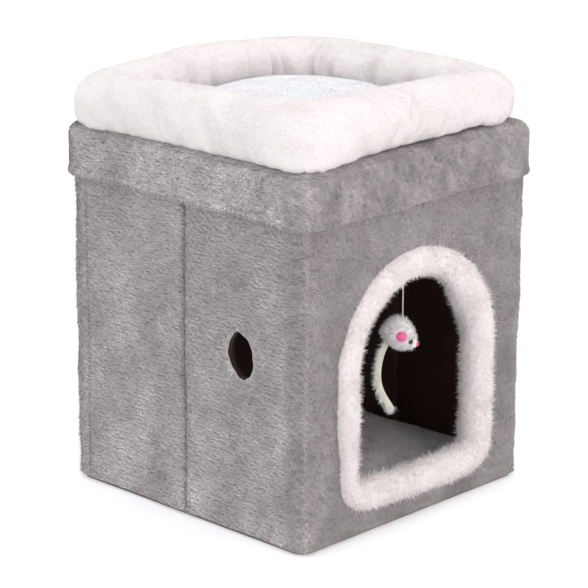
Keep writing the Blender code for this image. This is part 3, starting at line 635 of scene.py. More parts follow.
def nap_flow(points, normals):
    """The walls' pile lies sideways on the left, slants down on the front and parts round
    the peephole."""
    slant = -0.17 + 1.07 * np.abs(normals[:, 1]) + 0.16 * waves(points, 0.07, 7)
    down = np.array([0.0, 0.0, -1.0])
    flow = crossways(normals) * np.cos(slant)[:, None] + down * np.sin(slant)[:, None]
    away = points - np.array(PEEPHOLE)
    far = np.linalg.norm(away, axis=1)[:, None]
    parted = np.exp(-((far / (PEEPHOLE_HALF_HEIGHT + 0.005)) ** 8))
    return flow * (1 - parted) + away / far * parted


def outside(points, normals):
    """1 where a wall faces out, and 0 elsewhere. From just under the skirt's hem upwards the
    pile stands sparser, so the darker cloth beneath shows as a painted shadow under the hem.

    The peephole's rim has none.
    """
    away = (normals[:, :2] * points[:, :2]).sum(1)
    # painted shadow under the hem: sparser pile lets the darker cloth beneath show
    hem_shadow = unit((points[:, 2] - SKIRT_LOW + 0.008) / 0.005)
    near = np.linalg.norm(points - np.array(PEEPHOLE), axis=1) < PEEPHOLE_HALF_HEIGHT + 0.010
    rim = near & (np.abs(normals[:, 0]) < 0.5)
    return (away > 0.02) * (1 - 0.6 * hem_shadow) * ~rim


def everywhere(points, normals):
    """Pile all over a piece."""
    return np.ones(len(points))


def tousled(points, normals):
    """Pile that lies every way, as on fleece."""
    return np.stack([waves(points, 0.02, 52), waves(points, 0.02, 53), 0 * points[:, 0]], 1)


def grow(item, nap, flow, seed, where):
    """Grows pile on a piece, with the same material slot."""
    made = pile(item, nap, flow, seed, where)
    return made


def finish_wall(item, bodies, seed, ends=None):
    """Dresses a plush piece and grows its pile; both move with its first body, or stay where
    they are when ends are given.
    """
    dress(item, GREY_PLUSH)
    nap = FRONT_NAP if len(bodies) == 1 and "panel" not in bodies[0] else SIDE_NAP
    made = grow(item, nap, nap_flow, seed, outside)
    for piece in (item, made):
        if ends:
            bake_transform(piece)
        else:
            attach(piece, bodies[0])


FACE = HALF - PILE_ROOM
SECTION = slab_section(PLUSH - PILE_ROOM, WALL_LOW, WALL_HIGH, 0.0030)
STRIP_TURN = 40  # degrees of a corner's arc that its corner strip takes
STRIP_RUN = 0.0100  # how far the corner strip reaches along the side
CREASE_DEPTH, CREASE_REACH = 0.0052, 0.0070


def plain_arc(x_side, y_side, start, end):
    """An arc of a corner from the side wall (0 degrees) round to the end wall (90)."""
    steps = max(2, round((end - start) / 8))
    stations = arc((HINGE, HINGE), FACE - HINGE, start, end, steps)
    return [(x * x_side, y * y_side, nx * x_side, ny * y_side) for x, y, nx, ny in stations]


def brown_rim(item):
    """Wraps the peephole's rim in the brown cloth of the lining."""
    item.data.materials.append(BROWN_CLOTH)
    for face in item.data.polygons:
        away = face.center - PEEPHOLE
        if math.hypot(away.y, away.z) < PEEPHOLE_HALF_HEIGHT + 0.004:
            if abs(face.normal.x) < 0.5:
                face.material_index = 1


def wall_pieces():
    """The plush of the four walls, in rigid panels and corner strips."""
    seed = 10
    for name, y_side, body in (("front", -1, "front_wall"), ("back", 1, "base")):
        left = plain_arc(-1, y_side, STRIP_TURN, 90)
        open_corner = name == "front"
        right = plain_arc(1, y_side, 0 if open_corner else STRIP_TURN, 90)[::-1]
        middle = line((-HINGE, FACE * y_side), (HINGE, FACE * y_side), (0.0, y_side))
        stations = joined(left, middle, right)
        wall = sleeve(name + "_wall_plush", stations, SECTION, wall_ripple)
        if name == "front":
            upright = Matrix.Rotation(math.radians(90), 4, "X")
            place = Matrix.Translation((DOOR_X, -HALF, 0.0)) @ upright
            cut(wall, door_path(0.010, 0.003), place)
        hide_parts(name + "_plush")
        finish_wall(wall, (body,), seed)
        seed += 2
    for side_name, x_side in (("left", -1), ("right", 1)):
        for end_name, y_side in (("rear", 1), ("front", -1)):
            name = f"{side_name}_{end_name}"
            body = name + "_panel"
            open_corner = name == "right_front"
            far = HINGE if open_corner else HINGE - STRIP_RUN
            near = CREASE_EDGE
            crease = [
                ((FACE - CREASE_DEPTH * (1 - math.sin(t))) * x_side,
                 (near + CREASE_REACH * (1 - math.cos(t))) * y_side, x_side, 0.0)
                for t in (0.15, 0.45, 0.75, 1.05, 1.35)
            ]
            run = line((FACE * x_side, (near + CREASE_REACH) * y_side),
                       (FACE * x_side, far * y_side), (x_side, 0.0))
            panel = sleeve(name + "_wall_plush", crease + run, SECTION, wall_ripple)
            peephole = name == "left_front"
            if peephole:
                turned = Matrix(((0, 0, 1, 0), (1, 0, 0, 0), (0, 1, 0, 0), (0, 0, 0, 1)))
                cut(panel, peephole_path(0.0008), Matrix.Translation(PEEPHOLE) @ turned)
            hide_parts(name + "_plush")
            finish_wall(panel, (body,), seed)
            if peephole:
                brown_rim(panel)
            seed += 2
            if open_corner:
                continue
            other = "base" if end_name == "rear" else "front_wall"
            corner_arc = plain_arc(x_side, y_side, 0, STRIP_TURN)
            side_run = line((FACE * x_side, far * y_side),
                            (FACE * x_side, HINGE * y_side), (x_side, 0.0), 0.0025)
            strip = sleeve(name + "_corner_plush", joined(side_run, corner_arc), SECTION,
                           wall_ripple)
            start = corner_arc[-1]
            ends = ((start[0], start[1], 0.0), (FACE * x_side, far * y_side, 0.0))
            bodies = (other, body)
            if end_name == "front":
                bodies, ends = bodies[::-1], ends[::-1]
            finish_wall(strip, bodies, seed, ends)
            seed += 2


def right_linings():
    """The lining of the right wall, which swells where it turns in at the crease."""
    for end_name, swell in (("rear", 0.0024), ("front", 0.0010)):
        low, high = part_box(f"right_{end_name}_lining")
        near, far = (low.y, high.y) if end_name == "rear" else (high.y, low.y)
        stations = [
            (low.x - swell * bell(abs(y - near), 0.0060, 0.0045), y, -1.0, 0.0)
            for y in near + (far - near) * np.linspace(0, 1, 60) ** 1.6
        ]
        section = slab_section(LINING, low.z, high.z, 0.0004, 0.02)
        lining = sleeve(f"right_{end_name}_lining_cloth", stations, section)
        # the rear lining is painted lighter than the front one, as painted light
        dress(lining, LIT_BROWN_CLOTH if end_name == "rear" else BROWN_CLOTH)
        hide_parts(f"right_{end_name}_lining")
        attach(lining, f"right_{end_name}_panel")


# Stuffed pieces


def square_ring(outline, centre, half, z):
    """A ring at a height: an outline of half-width 1, brought to a middle and a size."""
    return [(centre[0] + x * half[0], centre[1] + y * half[1], z) for x, y, _, _ in outline]


def square_stations(half, radius, side_steps, corner_steps):
    """A closed rounded square in plan: points with their outward normals."""
    stations = []
    for quarter in range(4):
        turn = math.radians(90 * quarter)
        c, s = math.cos(turn), math.sin(turn)
        local = [
            (half, -(half - radius) + 2 * (half - radius) * n / side_steps, 1.0, 0.0)
            for n in range(side_steps)
        ]
        for n in range(corner_steps):
            angle = math.pi / 2 * n / corner_steps
            a, b = math.cos(angle), math.sin(angle)
            local.append((half - radius + radius * a, half - radius + radius * b, a, b))
        stations += [
            (x * c - y * s, x * s + y * c, nx * c - ny * s, nx * s + ny * c)
            for x, y, nx, ny in local
        ]
    return np.array(stations)


def subdivided(item):
    item.modifiers.new("smooth", "SUBSURF").levels = 1
    applied(item)


def place_points(mesh, points):
    """Moves a mesh's points to the rows of an array."""
    mesh.vertices.foreach_set("co", np.ascontiguousarray(points).ravel())
    mesh.update()


SIMULATED_FRAMES = 20


def puffed(item, cap, held, size, pressure, growth):
    """Swells a mesh as a cushion by cloth simulation, where held(points) says what stays."""
    remesh = item.modifiers.new("remesh", "REMESH")
    remesh.mode = "VOXEL"
    remesh.voxel_size = size
    applied(item)
    start = positions(item.data)
    group = item.vertex_groups.new(name="held")
    for number in np.flatnonzero(held(start)):
        group.add([int(number)], 1.0, "REPLACE")
    cloth = item.modifiers.new("cloth", "CLOTH")
    settings = cloth.settings
    settings.use_pressure = True
    settings.uniform_pressure_force = pressure
    settings.effector_weights.gravity = 0.0
    settings.vertex_group_mass = "held"
    settings.shrink_min = -growth
    settings.tension_stiffness = settings.compression_stiffness = 12.0
    settings.bending_stiffness = 0.8
    for number in range(1, SIMULATED_FRAMES + 1):
        bpy.context.scene.frame_set(number)
    evaluated = item.evaluated_get(bpy.context.evaluated_depsgraph_get())
    moved = positions(evaluated.data) - start
    far = np.linalg.norm(moved, axis=1)
    moved *= np.minimum(1.0, cap / np.maximum(far, 1e-9))[:, None]
    item.modifiers.clear()
    item.vertex_groups.clear()
    place_points(item.data, start + moved)
    bpy.context.scene.frame_set(1)
    subdivided(item)


def around(points):
    """How far round the bed a point lies: 0 right, 1 back, 2 left and 3 front."""
    return np.degrees(np.arctan2(points[:, 1], points[:, 0])) / 90 % 4


def eighths(turn, values):
    """A smooth value round the bed from its middles and corners, right side first."""
    place = np.asarray(turn) % 4 * 2
    low = np.floor(place).astype(int)
    share = place - low
    share = share * share * (3 - 2 * share)
    values = np.array(values)
    return values[low % 8] * (1 - share) + values[(low + 1) % 8] * share


# Round the bed from the right side: right, back right, back, back left, left, front left,
# front, front right. How high the crest is, how far the outer face is moved out, how far the
# outside hangs over the lid's edge, and how far the inner face is moved out.
CREST = (0.5255, 0.5215, 0.5265, 0.5215, 0.5260, 0.5345, 0.5310, 0.5290)
OUTER_REACH = (-0.0010, -0.0053, -0.0005, 0.0027, 0.0030, 0.0025, -0.0010, -0.0093)
HANG = (0.0060, 0.0050, 0.0050, 0.0130, 0.0085, 0.0080, 0.0020, 0.0055)
INNER_REACH = (0.0000, 0.0010, 0.0015, 0.0040, 0.0020, -0.0040, -0.0020, 0.0000)
# Where the inner face gathers: a point in plan, how deep and how wide
GATHERS = (
    ((-0.100, 0.1315), 0.0040, 0.007), ((-0.046, 0.1315), 0.0045, 0.006),
    ((-0.004, 0.1315), 0.0035, 0.006), ((0.060, 0.1315), 0.0030, 0.006),
    ((0.098, 0.1310), 0.0060, 0.005), ((0.117, 0.1240), 0.0060, 0.005),
    ((0.128, 0.1100), 0.0050, 0.005), ((0.1315, 0.076), 0.0035, 0.007),
    ((0.1315, 0.008), 0.0040, 0.007), ((0.1315, -0.060), 0.0030, 0.008),
    ((-0.1315, 0.060), 0.0035, 0.008), ((-0.1315, -0.040), 0.0035, 0.007),
    ((-0.122, -0.122), 0.0055, 0.006), ((-0.020, -0.1315), 0.0040, 0.008),
    ((0.070, -0.1315), 0.0035, 0.007), ((-0.122, 0.122), 0.0055, 0.006),
    ((0.122, -0.122), 0.0050, 0.006),
)


BOLSTER_WAIST = 0.026  # height over its foot at which the ring is widest


def bed_bolster():
    """The stuffed ring: full and low on the outside, gathered on the inside."""
    low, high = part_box("bolster")
    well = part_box("top_cushion")[1].x + 0.0035
    side_steps, corner_steps, steps = 60, 18, 36
    outer = square_stations(high.x - 0.0030, 0.040, side_steps, corner_steps)
    inner = square_stations(well + 0.0030, 0.034, side_steps, corner_steps)
    turns = around((outer[:, :2] + inner[:, :2]) / 2)
    crest, out, within = (
        eighths(turns, values) for values in (CREST, OUTER_REACH, INNER_REACH)
    )
    outer[:, :2] += outer[:, 2:] * out[:, None]
    inner[:, :2] += inner[:, 2:] * within[:, None]
    rings = []
    for a, b, top in zip(inner, outer, crest - 0.003):
        middle, reach = (a[:2] + b[:2]) / 2, (b[:2] - a[:2]) / 2
        ring = []
        for number in range(steps):
            turn = 2 * math.pi * number / steps
            c, s = math.cos(turn), math.sin(turn)
            squareness = 0.88 if s > 0 else 0.42 if c > 0 else 0.6
            across = math.copysign(abs(c) ** squareness, c)
            up = math.copysign(abs(s) ** squareness, s)
            x, y = middle + reach * across
            waist = low.z + BOLSTER_WAIST
            z = waist + up * (top - waist if s > 0 else waist - low.z - 0.0015)
            ring.append((x, y, z))
        rings.append(ring)
    bolster = loop_mesh("bolster_ring", rings)
    puffed(bolster, 0.006, lambda p: p[:, 2] < low.z + 0.004, 0.006, 4.0, 0.04)
    points = positions(bolster.data)
    hang = unit((np.abs(points[:, :2]).max(1) - high.x + 0.026) / 0.015)
    hang *= eighths(around(points), HANG)
    points[:, 2] -= hang * unit(1 - (points[:, 2] - low.z) / 0.030)
    middle = square_stations((high.x + well) / 2, 0.041, side_steps, corner_steps)
    for (x, y), depth, width in GATHERS:
        away = np.hypot(points[:, 0] - x, points[:, 1] - y)
        nearest = middle[np.argmin(np.hypot(middle[:, 0] - x, middle[:, 1] - y))]
        normal = nearest[2:]
        along = (points[:, :2] - (x, y)) @ np.array((-normal[1], normal[0]))
        inside = unit((0.030 - away) / 0.030) ** 0.5
        height = unit((points[:, 2] - low.z) / (high.z - low.z))
        lean = width * 0.5 * np.sin(height * 5 + x * 90)
        crease = np.exp(-(((along - lean) / width) ** 2)) * 1.5
        swell = np.exp(-(((along - lean) / (2.6 * width)) ** 2)) * 0.5
        move = 1.5 * (crease - swell) * depth * inside * unit(1.25 - height)
        points[:, :2] += normal * move[:, None]
    points[:, 2] = np.maximum(points[:, 2], low.z - hang)
    foot = unit(1 - (points[:, 2] - low.z) / 0.012)
    foot *= np.abs(points[:, :2]).max(1) < (high.x + well) / 2
    points[:, :2] *= (1 - 0.050 * foot)[:, None]
    height = unit((points[:, 2] - low.z) / 0.03)
    away = np.hypot(points[:, 0], points[:, 1])
    points[:, :2] *= (1 + 0.0012 * waves(points, 0.07, 41) * height / away)[:, None]
    points[:, 2] += 0.0012 * waves(points, 0.08, 42) * height
    place_points(bolster.data, points)
    dress(bolster, WHITE_PLUSH)

    def flow(places, normals):
        sway = 0.8 * waves(places, 0.12, 43)
        return np.array([0, 0, -0.8]) + crossways(normals) * sway[:, None]

    fur = grow(bolster, BOLSTER_NAP, flow, 44,
               lambda p, n: (p[:, 2] > low.z + 0.0015) | (outside(p, n) > 0))
    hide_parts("bolster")
    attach(bolster, "lid")
    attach(fur, "lid")


CROWN, CROWN_EDGE = 0.55, 28.0  # how the cushion's top falls with distance from its middle
CENTRE = 0.004  # share of a piece's width at which the rings of its faces end


def bed_cushion():
    """The loose cushion, which rises to a low dome."""
    low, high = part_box("top_cushion")
    half = high.x - 0.0025
    outline = square_stations(1.0, 0.30, 24, 12)
    profile = [(0.0, 0), (0.25, 0), (0.5, 0), (0.75, 0.0003), (0.90, 0.0012), (0.97, 0.0035),
               (1.0, 0.0085), (0.992, 0.0125)]
    rings = []
    for share, z in profile:
        reach = max(share, CENTRE)
        rings.append(square_ring(outline, (0, 0), (half * reach,) * 2, low.z + z))
    for share in (0.97, 0.93, 0.87, 0.8, 0.72, 0.63, 0.54, 0.45, 0.36, 0.27, 0.18, 0.09, CENTRE):
        rings.append([
            (x * half * share, y * half * share,
             high.z - 0.0015 - CROWN * (half * share) ** 2 * (x * x + y * y)
             - CROWN_EDGE * ((half * share) ** 2 * (x * x + y * y)) ** 2
             - 0.004 * max(0.0, share - 0.87) / 0.1)
            for x, y, _, _ in outline
        ])
    cushion = loop_mesh("bed_cushion", rings, closed=False)
    puffed(cushion, 0.0015, lambda p: p[:, 2] < low.z + 0.001, 0.005, 3.0, 0.01)
    points = positions(cushion.data)
    height = unit((points[:, 2] - low.z) / 0.02)
    points[:, 2] += 0.0008 * waves(points, 0.06, 51) * height
    points[:, 2] = np.clip(points[:, 2], low.z, high.z + 0.001)
    points[:, :2] = np.clip(points[:, :2], low.x, high.x)
    place_points(cushion.data, points)
    dress(cushion, WHITE_FLEECE)
    fur = grow(cushion, FLEECE_NAP, tousled, 54,
               lambda p, n: (p[:, 2] > low.z + 0.010) * 1.0)
    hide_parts("top_cushion")
    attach(cushion, "cushion")
    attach(fur, "cushion")


def lid_cover():
    """The lid's plush top, and its skirt from a soft shoulder down to the hem."""
    face = SKIRT_HALF - SKIRT_ROOM
    thickness = face - SKIRT_INNER
    outer = square_stations(face, 0.0290, 90, 14)
    deep, tall, crest = 0.0250, 0.0150, SKIRT_HIGH - 0.0010
    section = [(thickness, SKIRT_LOW + 0.0030)]
    section += [
        (thickness / 2 + thickness / 2 * math.cos(t), SKIRT_LOW + 0.003 - 0.003 * math.sin(t))
        for t in np.linspace(0.3, math.pi - 0.3, 5)
    ]
    for z in np.linspace(SKIRT_LOW + 0.003, crest - tall, 15):
        section.append((-0.0018 * bell(z, SKIRT_LOW + 0.0040, 0.0050), z))
    section += [
        (deep * (1 - math.cos(t)), crest - tall * (1 - math.sin(t)))
        for t in np.linspace(0.12, math.pi / 2, 10)
    ]
    shelf = 0.0300
    section += [(shelf, crest), (shelf, crest - 0.0040), (0.0140, crest - 0.0058),
                (thickness + 0.0003, crest - 0.0100)]
    rings = [[(x - nx * d, y - ny * d, z) for d, z in section] for x, y, nx, ny in outer]
    skirt = loop_mesh("skirt_band", rings)
    subdivided(skirt)
    points = positions(skirt.data)
    flat = points * np.array([1, 1, 0])
    low = unit(1 - (points[:, 2] - SKIRT_LOW) / 0.020)
    points[:, 2] += low * 0.0012 * waves(flat, 0.07, 21)
    away = flat / np.linalg.norm(flat, axis=1)[:, None]
    outwards = unit((np.abs(flat).max(1) - SKIRT_INNER) / thickness)
    sway = 0.0006 * waves(points, 0.05, 22) + 0.0007 * low * (waves(flat, 0.06, 23) + 0.6)
    points += away * (sway * outwards)[:, None]
    place_points(skirt.data, points)
    dress(skirt, GREY_PLUSH)

    def shown(places, normals):
        lifted = (normals[:, 2] > 0.3) & (places[:, 2] > SKIRT_HIGH - 0.02)
        return ((outside(places, normals) > 0) | lifted) * (1 - 0.3 * np.abs(normals[:, 0]))

    def hanging(places, normals):
        return normals * 0.3 + np.array([0, 0, -1.0])

    def tumbled(places, normals):
        turn = 0.20 * waves(places, 0.04, 26)
        return nap_flow(places, normals) + np.array([0, 0, 1.0]) * turn[:, None]

    fur = grow(skirt, SKIRT_NAP, tumbled, 24, shown)
    hem = grow(skirt, HEM_NAP, hanging, 25,
               lambda p, n: shown(p, n) * (p[:, 2] < SKIRT_LOW + 0.007))

    low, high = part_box("lid_plush")
    rings = []
    for reach, z in ((0.1, low.z), (high.x, low.z), (high.x, low.z + 0.0006),
                     (0.190, crest - 0.0045), (0.177, crest - 0.0040), (0.172, high.z),
                     (0.1, high.z)):
        rings.append(square_ring(square_stations(reach, 0.024, 24, 8), (0, 0), (1, 1), z))
    top = loop_mesh("lid_top", rings, closed=False)
    # the lid's top grows no pile, so its grey plush shows the darkest root tone, as painted
    # shade
    dress(top, GREY_PLUSH)
    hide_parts("lid_skirt")
    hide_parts("lid_plush")
    for piece in (skirt, fur, hem, top):
        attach(piece, "lid")


TRIM_SAG = 0.0055  # of the roll's sill
TRIM_SWELL_IN, TRIM_SWELL_OUT = 0.0075, 0.0028  # at its right and left shoulders
TRIM_NARROW = 0.0065  # how much less far out the roll reaches low on the left


def doorway_trim():
    """The stuffed roll round the doorway: it sags along the sill and swells at its shoulders."""
    rings = []
    path = door_path(0.0, 0.006)
    count = len(path)
    for number, (x, z) in enumerate(path):
        before, after = path[number - 1], path[(number + 1) % count]
        along = Vector((after[0] - before[0], 0.0, after[1] - before[1])).normalized()
        out = Vector((along.z, 0.0, -along.x))
        rise = z - DOOR_SPRING
        turn = math.degrees(math.atan2(rise, x)) if rise > 0 else -90.0
        low = unit(1 - (z - DOOR_SILL) / 0.06)
        sag = low * TRIM_SAG * unit((x + 0.10) / 0.08)
        inward = TRIM_SWELL_IN * bell(turn, 33, 24)
        outward = TRIM_SWELL_OUT * bell(turn, 125, 35)
        if x < 0:
            outward -= TRIM_NARROW * unit((0.19 - z) / 0.09) * abs(out.x)
        ring = []
        for turn in circle(24):
            c = math.cos(turn)
            reach = out * c * (TRIM_HALF_WIDTH - FUR_ROOM + (outward if c > 0 else inward))
            y = TRIM_Y + (TRIM_HALF_DEPTH - FUR_ROOM) * math.sin(turn)
            ring.append((DOOR_X + x + reach.x, y, z + reach.z - sag))
        rings.append(ring)
    trim = loop_mesh("doorway_roll", rings)
    puffed(trim, 0.0020, lambda p: p[:, 1] > TRIM_HIGH.y - 0.006, 0.005, 3.0, 0.02)
    points = positions(trim.data)
    points += 0.0006 * np.stack([waves(points, 0.035, 31 + n) for n in range(3)], axis=1)
    place_points(trim.data, points)
    # the roll wears the lighter copy of the white plush, as painted light
    dress(trim, LIT_TRIM_PLUSH)

    def flow(places, normals):
        forward = np.array([0.0, -0.5, 0.0])
        return forward + np.stack([waves(places, 0.04, n) for n in (36, 37, 38)], axis=1) * 0.5

    fur = grow(trim, TRIM_NAP, flow, 39, everywhere)
    halo = grow(trim, HALO_NAP, flow, 40, everywhere)
    halo.name = "doorway_halo"
    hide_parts("door_trim")
    for piece in (trim, fur, halo):
        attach(piece, "front_wall")


def house_mat():
    """The loose fleece mat on the floor."""
    low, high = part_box("floor_mat")
    outline = square_stations(1.0, 0.08, 24, 6)
    centre = ((low.x + high.x) / 2, (low.y + high.y) / 2)
    rings = []
    for share, up in ((0.0, 0.0), (0.5, 0.0), (0.9, 0.0), (0.97, 0.08), (0.995, 0.3), (1.0, 0.5),
                      (0.99, 0.7), (0.96, 0.86), (0.88, 0.95), (0.5, 1.0), (0.0, 1.0)):
        reach = max(share, CENTRE)
        half = ((high.x - low.x) / 2 * reach, (high.y - low.y) / 2 * reach)
        rings.append(square_ring(outline, centre, half, low.z + (high.z - low.z) * up))
    mat = loop_mesh("house_mat", rings, closed=False)
    puffed(mat, 0.003, lambda p: p[:, 2] < low.z + 0.001, 0.006, 2.0, 0.0)
    points = positions(mat.data)
    points[:, 0] = np.clip(points[:, 0], low.x, high.x)
    points[:, 1] = np.clip(points[:, 1], low.y, high.y)
    points[:, 2] = np.clip(points[:, 2], low.z, None)
    place_points(mat.data, points)
    dress(mat, GREY_FLEECE)
    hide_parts("floor_mat")
    fur = grow(mat, MAT_NAP, tousled, 63, lambda p, n: (n[:, 2] > 0.3) * 1.0)
    for piece in (mat, fur):
        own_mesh(piece)
        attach(piece, "mat")


def toy_cord():
    """The mouse's elastic string, from the loop in the doorway down to its back."""
    low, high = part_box("toy_string")
    x, y = (low.x + high.x) / 2, (low.y + high.y) / 2
    count = 16
    route = [(x, y, high.z + (low.z - high.z) * n / (count - 1)) for n in range(count)]
    radius = 0.0008
    rings = []
    for number, point in enumerate(route):
        ring = []
        for turn in circle(12):
            twist = turn + number * 0.5
            ring.append((point[0] + radius * math.cos(twist),
                         point[1] + radius * math.sin(twist), point[2]))
        rings.append(ring)
    string = loop_mesh("elastic_string", rings, closed=False)
    dress(string, THREAD)
    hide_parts("toy_string")
    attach(string, "string")


MOUSE_LENGTH, MOUSE_DROOP = 0.0430, 0.0165
MOUSE_HALF_WIDTH, MOUSE_HALF_HEIGHT = 0.0143, 0.0198
MOUSE_MIDDLE = 0.0196  # how far its middle line lies below the string's end
MOUSE_HANG = 0.57  # how far along the mouse its string meets it
TAIL_HALF_WIDTH, TAIL_HALF_THICKNESS = 0.0040, 0.0011
MOUSE_HEADING = math.radians(-45.4)
MOUSE_PLACE = Matrix.Translation(
    ((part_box("toy_string")[0].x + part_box("toy_string")[1].x) / 2,
     (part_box("toy_string")[0].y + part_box("toy_string")[1].y) / 2,
     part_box("mouse_body")[1].z)
) @ Matrix.Rotation(MOUSE_HEADING, 4, "Z")
# Along the tail, forward and up from where the string meets the mouse
TAIL_ROUTE = (
    (-0.0165, -0.0300), (-0.0222, -0.0400), (-0.0262, -0.0520), (-0.0285, -0.0650),
    (-0.0290, -0.0780), (-0.0270, -0.0900), (-0.0222, -0.1010), (-0.0160, -0.1110),
    (-0.0100, -0.1200),
)


def placed(points):
    """Points on the mouse, nose along X and the string's end at the origin, in place."""
    turned = np.array(MOUSE_PLACE)
    return np.asarray(points) @ turned[:3, :3].T + turned[:3, 3]


def toy_mouse():
    """The mouse's furry body, felt ears and suede tail with its fringe of fur."""
    rings = []
    for share in (0.004, 0.03, 0.08, 0.15, 0.24, 0.34, 0.45, 0.56, 0.67, 0.77, 0.86, 0.93,
                  0.975, 0.996):
        swell = math.sin(math.pi * share)
        middle = -MOUSE_DROOP * share**4 - MOUSE_MIDDLE
        rings.append([
            (MOUSE_LENGTH * (share - MOUSE_HANG),
             MOUSE_HALF_WIDTH * swell**0.7 * math.sin(turn),
             middle + MOUSE_HALF_HEIGHT * swell**0.6 * math.cos(turn))
            for turn in circle(28)
        ])
    body = loop_mesh("toy_body", [placed(ring) for ring in rings], closed=False)
    subdivided(body)
    dress(body, MOUSE_FUR)
    beads = [np.array(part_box(name)[0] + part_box(name)[1]) / 2 for name in
             ("mouse_ear_left", "mouse_ear_right", "mouse_eye_left", "mouse_eye_right",
              "mouse_nose")]
    clearances = (0.0070, 0.0070, 0.0042, 0.0042, 0.0062)

    def bare(places, normals):
        """Fur stands clear of the ears, the eyes and the nose."""
        grown = np.ones(len(places))
        for bead, reach in zip(beads, clearances):
            grown *= np.linalg.norm(places - bead, axis=1) > reach
        return grown

    back = placed([(-1.0, 0.0, -0.15)])[0] - placed([(0.0, 0.0, 0.0)])[0]
    fur = grow(body, MOUSE_NAP, lambda p, n: np.tile(back, (len(p), 1)), 81, bare)
    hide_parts("mouse_body")

    strip = []
    for number, (forward, up) in enumerate(TAIL_ROUTE):
        before = TAIL_ROUTE[max(number - 1, 0)]
        after = TAIL_ROUTE[min(number + 1, len(TAIL_ROUTE) - 1)]
        along = Vector((after[0] - before[0], 0.0, after[1] - before[1])).normalized()
        across = Vector((-along.z, 0.0, along.x)) * TAIL_HALF_WIDTH
        through = Vector((0.0, TAIL_HALF_THICKNESS, 0.0))
        centre = Vector((forward, 0.0, up))
        ring = []
        for turn in circle(12):
            c, s = math.cos(turn), math.sin(turn)
            ring.append(centre + across * math.copysign(abs(c) ** 0.6, c)
                        + through * math.copysign(abs(s) ** 0.6, s))
        strip.append(placed([tuple(point) for point in ring]))
    tail = loop_mesh("toy_tail", strip, closed=False)
    subdivided(tail)
    dress(tail, SUEDE)
    spine = placed([(forward, 0.0, up) for forward, up in TAIL_ROUTE])
    forward = placed([(1.0, 0.0, 0.0)])[0] - placed([(0.0, 0.0, 0.0)])[0]

    def fringe(places, normals):
        """Fur on the tail's back edge, all round near its tip."""
        behind = normals @ forward < -0.35
        tip = places[:, 2] < spine[-1][2] + 0.006
        return behind | tip

    def trailing(places, normals):
        return normals * 0.8 - forward * 0.4 + np.array([0.0, 0.0, -0.9])

    tail_fur = pile(tail, TAIL_NAP, trailing, 82, fringe)
    dress(tail_fur, MOUSE_FUR)
    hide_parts("mouse_tail")
    for piece in (body, fur, tail, tail_fur):
        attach(piece, "mouse")


toy_cord()
toy_mouse()
wall_pieces()
right_linings()
lid_cover()
bed_bolster()
bed_cushion()
doorway_trim()
house_mat()

CARRIED = {
    # the base cover grows no pile, so its grey plush shows the darkest root tone, as painted
    # shade
    "base_cover": GREY_PLUSH, "base_board": FIBREBOARD, "base_liner": BROWN_CLOTH,
    "lid_lining": BROWN_CLOTH, "lid_board": FIBREBOARD,
    "bed_sheet": WHITE_FLEECE, "toy_loop": THREAD,
    "mouse_ear_left": PINK_FELT, "mouse_ear_right": PINK_FELT,
    "mouse_eye_left": BLACK_BEAD, "mouse_eye_right": BLACK_BEAD, "mouse_nose": RED_BEAD,
}
for wall in ("back", "front", "left_rear", "left_front", "right_rear", "right_front"):
    CARRIED[wall + "_board"] = FIBREBOARD
    CARRIED[wall + "_lining"] = BROWN_CLOTH
for name, material in CARRIED.items():
    NODES[name].data.materials.clear()
    NODES[name].data.materials.append(material)


# Stage, light and camera


def area_light(name, place, size, power, aim=(0.0, 0.0, 0.25), colour=(1.0, 1.0, 1.0)):
    data = bpy.data.lights.new(name, "AREA")
    data.shape = "DISK"
    data.size = size
    data.energy = power
    data.color = colour
    lamp = link(bpy.data.objects.new(name, data))
    lamp.location = place
    lamp.rotation_euler = (Vector(aim) - Vector(place)).to_track_quat("-Z", "Y").to_euler()


def white_to_camera(tree, other, target):
    """White where the camera, a reflection or a clear surface looks, else the other."""
    path = tree.nodes.new("ShaderNodeLightPath")
    seen = path.outputs["Is Camera Ray"]
    for name in ("Is Glossy Ray", "Is Transmission Ray"):
        most = tree.nodes.new("ShaderNodeMath")
        most.operation = "MAXIMUM"
        tree.links.new(seen, most.inputs[0])
        tree.links.new(path.outputs[name], most.inputs[1])
        seen = most.outputs[0]
    mix = tree.nodes.new("ShaderNodeMixShader")
    tree.links.new(seen, mix.inputs["Fac"])
    tree.links.new(other, mix.inputs[1])
    tree.links.new(mix.outputs[0], target)
    return mix


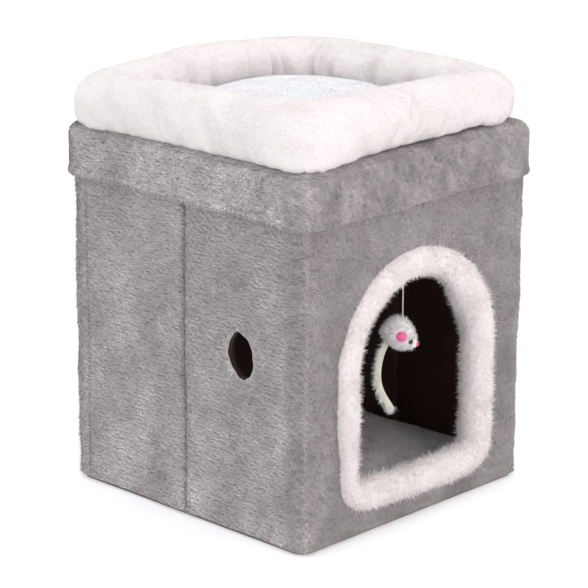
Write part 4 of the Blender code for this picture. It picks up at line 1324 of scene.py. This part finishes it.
def build_stage():
    """A white room: soft light from the world, lamps, and a floor that is seen as white."""
    world = bpy.data.worlds.new("studio")
    bpy.context.scene.world = world
    world.use_nodes = True
    tree = world.node_tree
    soft = tree.nodes["Background"]
    fill(soft, Color=(0.95, 0.97, 1.0, 1.0), Strength=0.94)
    white = tree.nodes.new("ShaderNodeBackground")
    fill(white, Color=(1.0, 1.0, 1.0, 1.0))
    mix = white_to_camera(tree, soft.outputs[0], tree.nodes["World Output"].inputs[0])
    tree.links.new(white.outputs[0], mix.inputs[2])

    floor = mesh_object("floor", [(-6, -6, 0), (6, -6, 0), (6, 6, 0), (-6, 6, 0)],
                        [(0, 1, 2, 3)])
    floor.location.z = -0.0002
    shader = Shader("floor", 0.9)
    shader.colour(shader.ramp(shader.noise(3.0), (0.0, (0.78,) * 3), (1.0, (0.80,) * 3)))
    lit = shader.principled.outputs[0]
    glow = shader.add("ShaderNodeEmission")
    fill(glow, Strength=0.35)
    both = shader.add("ShaderNodeAddShader")
    shader.join(lit, both.inputs[0])
    shader.join(glow.outputs[0], both.inputs[1])
    target = shader.tree.nodes["Material Output"].inputs["Surface"]
    mix = white_to_camera(shader.tree, lit, target)
    shader.join(both.outputs[0], mix.inputs[2])
    floor.data.materials.append(shader.material)

    area_light("key", (-2.5, 1.5, 2.2), 1.8, 11)
    warm = (1.0, 0.92, 0.90)
    area_light("front", (0.9, -3.0, 1.3), 2.2, 16, colour=warm)
    area_light("low", (-2.4, -0.6, 0.3), 1.6, 6)
    area_light("top", (0.2, 0.3, 3.0), 2.4, 14)
    area_light("door", (-0.6, -2.4, 0.95), 0.6, 9, (0.05, -0.1, 0.12), warm)


FOCAL_LENGTH = 157.18  # for a sensor 36 mm wide
CAMERA_TURN = (46.086, 16.66, -0.236)  # yaw, pitch and roll in degrees
CAMERA_PLACE = (-2.20808, -2.11796, 1.15391)


def build_camera():
    """A camera at the photograph's place and angle, worked out from the house's edges."""
    data = bpy.data.cameras.new("camera")
    data.sensor_width = 36.0
    data.lens = FOCAL_LENGTH
    data.clip_start, data.clip_end = 0.1, 30.0
    camera = link(bpy.data.objects.new("camera", data))
    yaw, pitch, roll = (math.radians(angle) for angle in CAMERA_TURN)
    forward = Vector((math.sin(yaw) * math.cos(pitch), math.cos(yaw) * math.cos(pitch),
                      -math.sin(pitch)))
    flat = forward.cross(Vector((0, 0, 1))).normalized()
    upright = flat.cross(forward)
    right = flat * math.cos(roll) - upright * math.sin(roll)
    up = upright * math.cos(roll) + flat * math.sin(roll)
    turn = Matrix((right, up, -forward)).transposed().to_4x4()
    camera.matrix_world = Matrix.Translation(CAMERA_PLACE) @ turn
    bpy.context.scene.camera = camera


build_camera()
build_stage()
bpy.context.scene.view_settings.view_transform = "Standard"
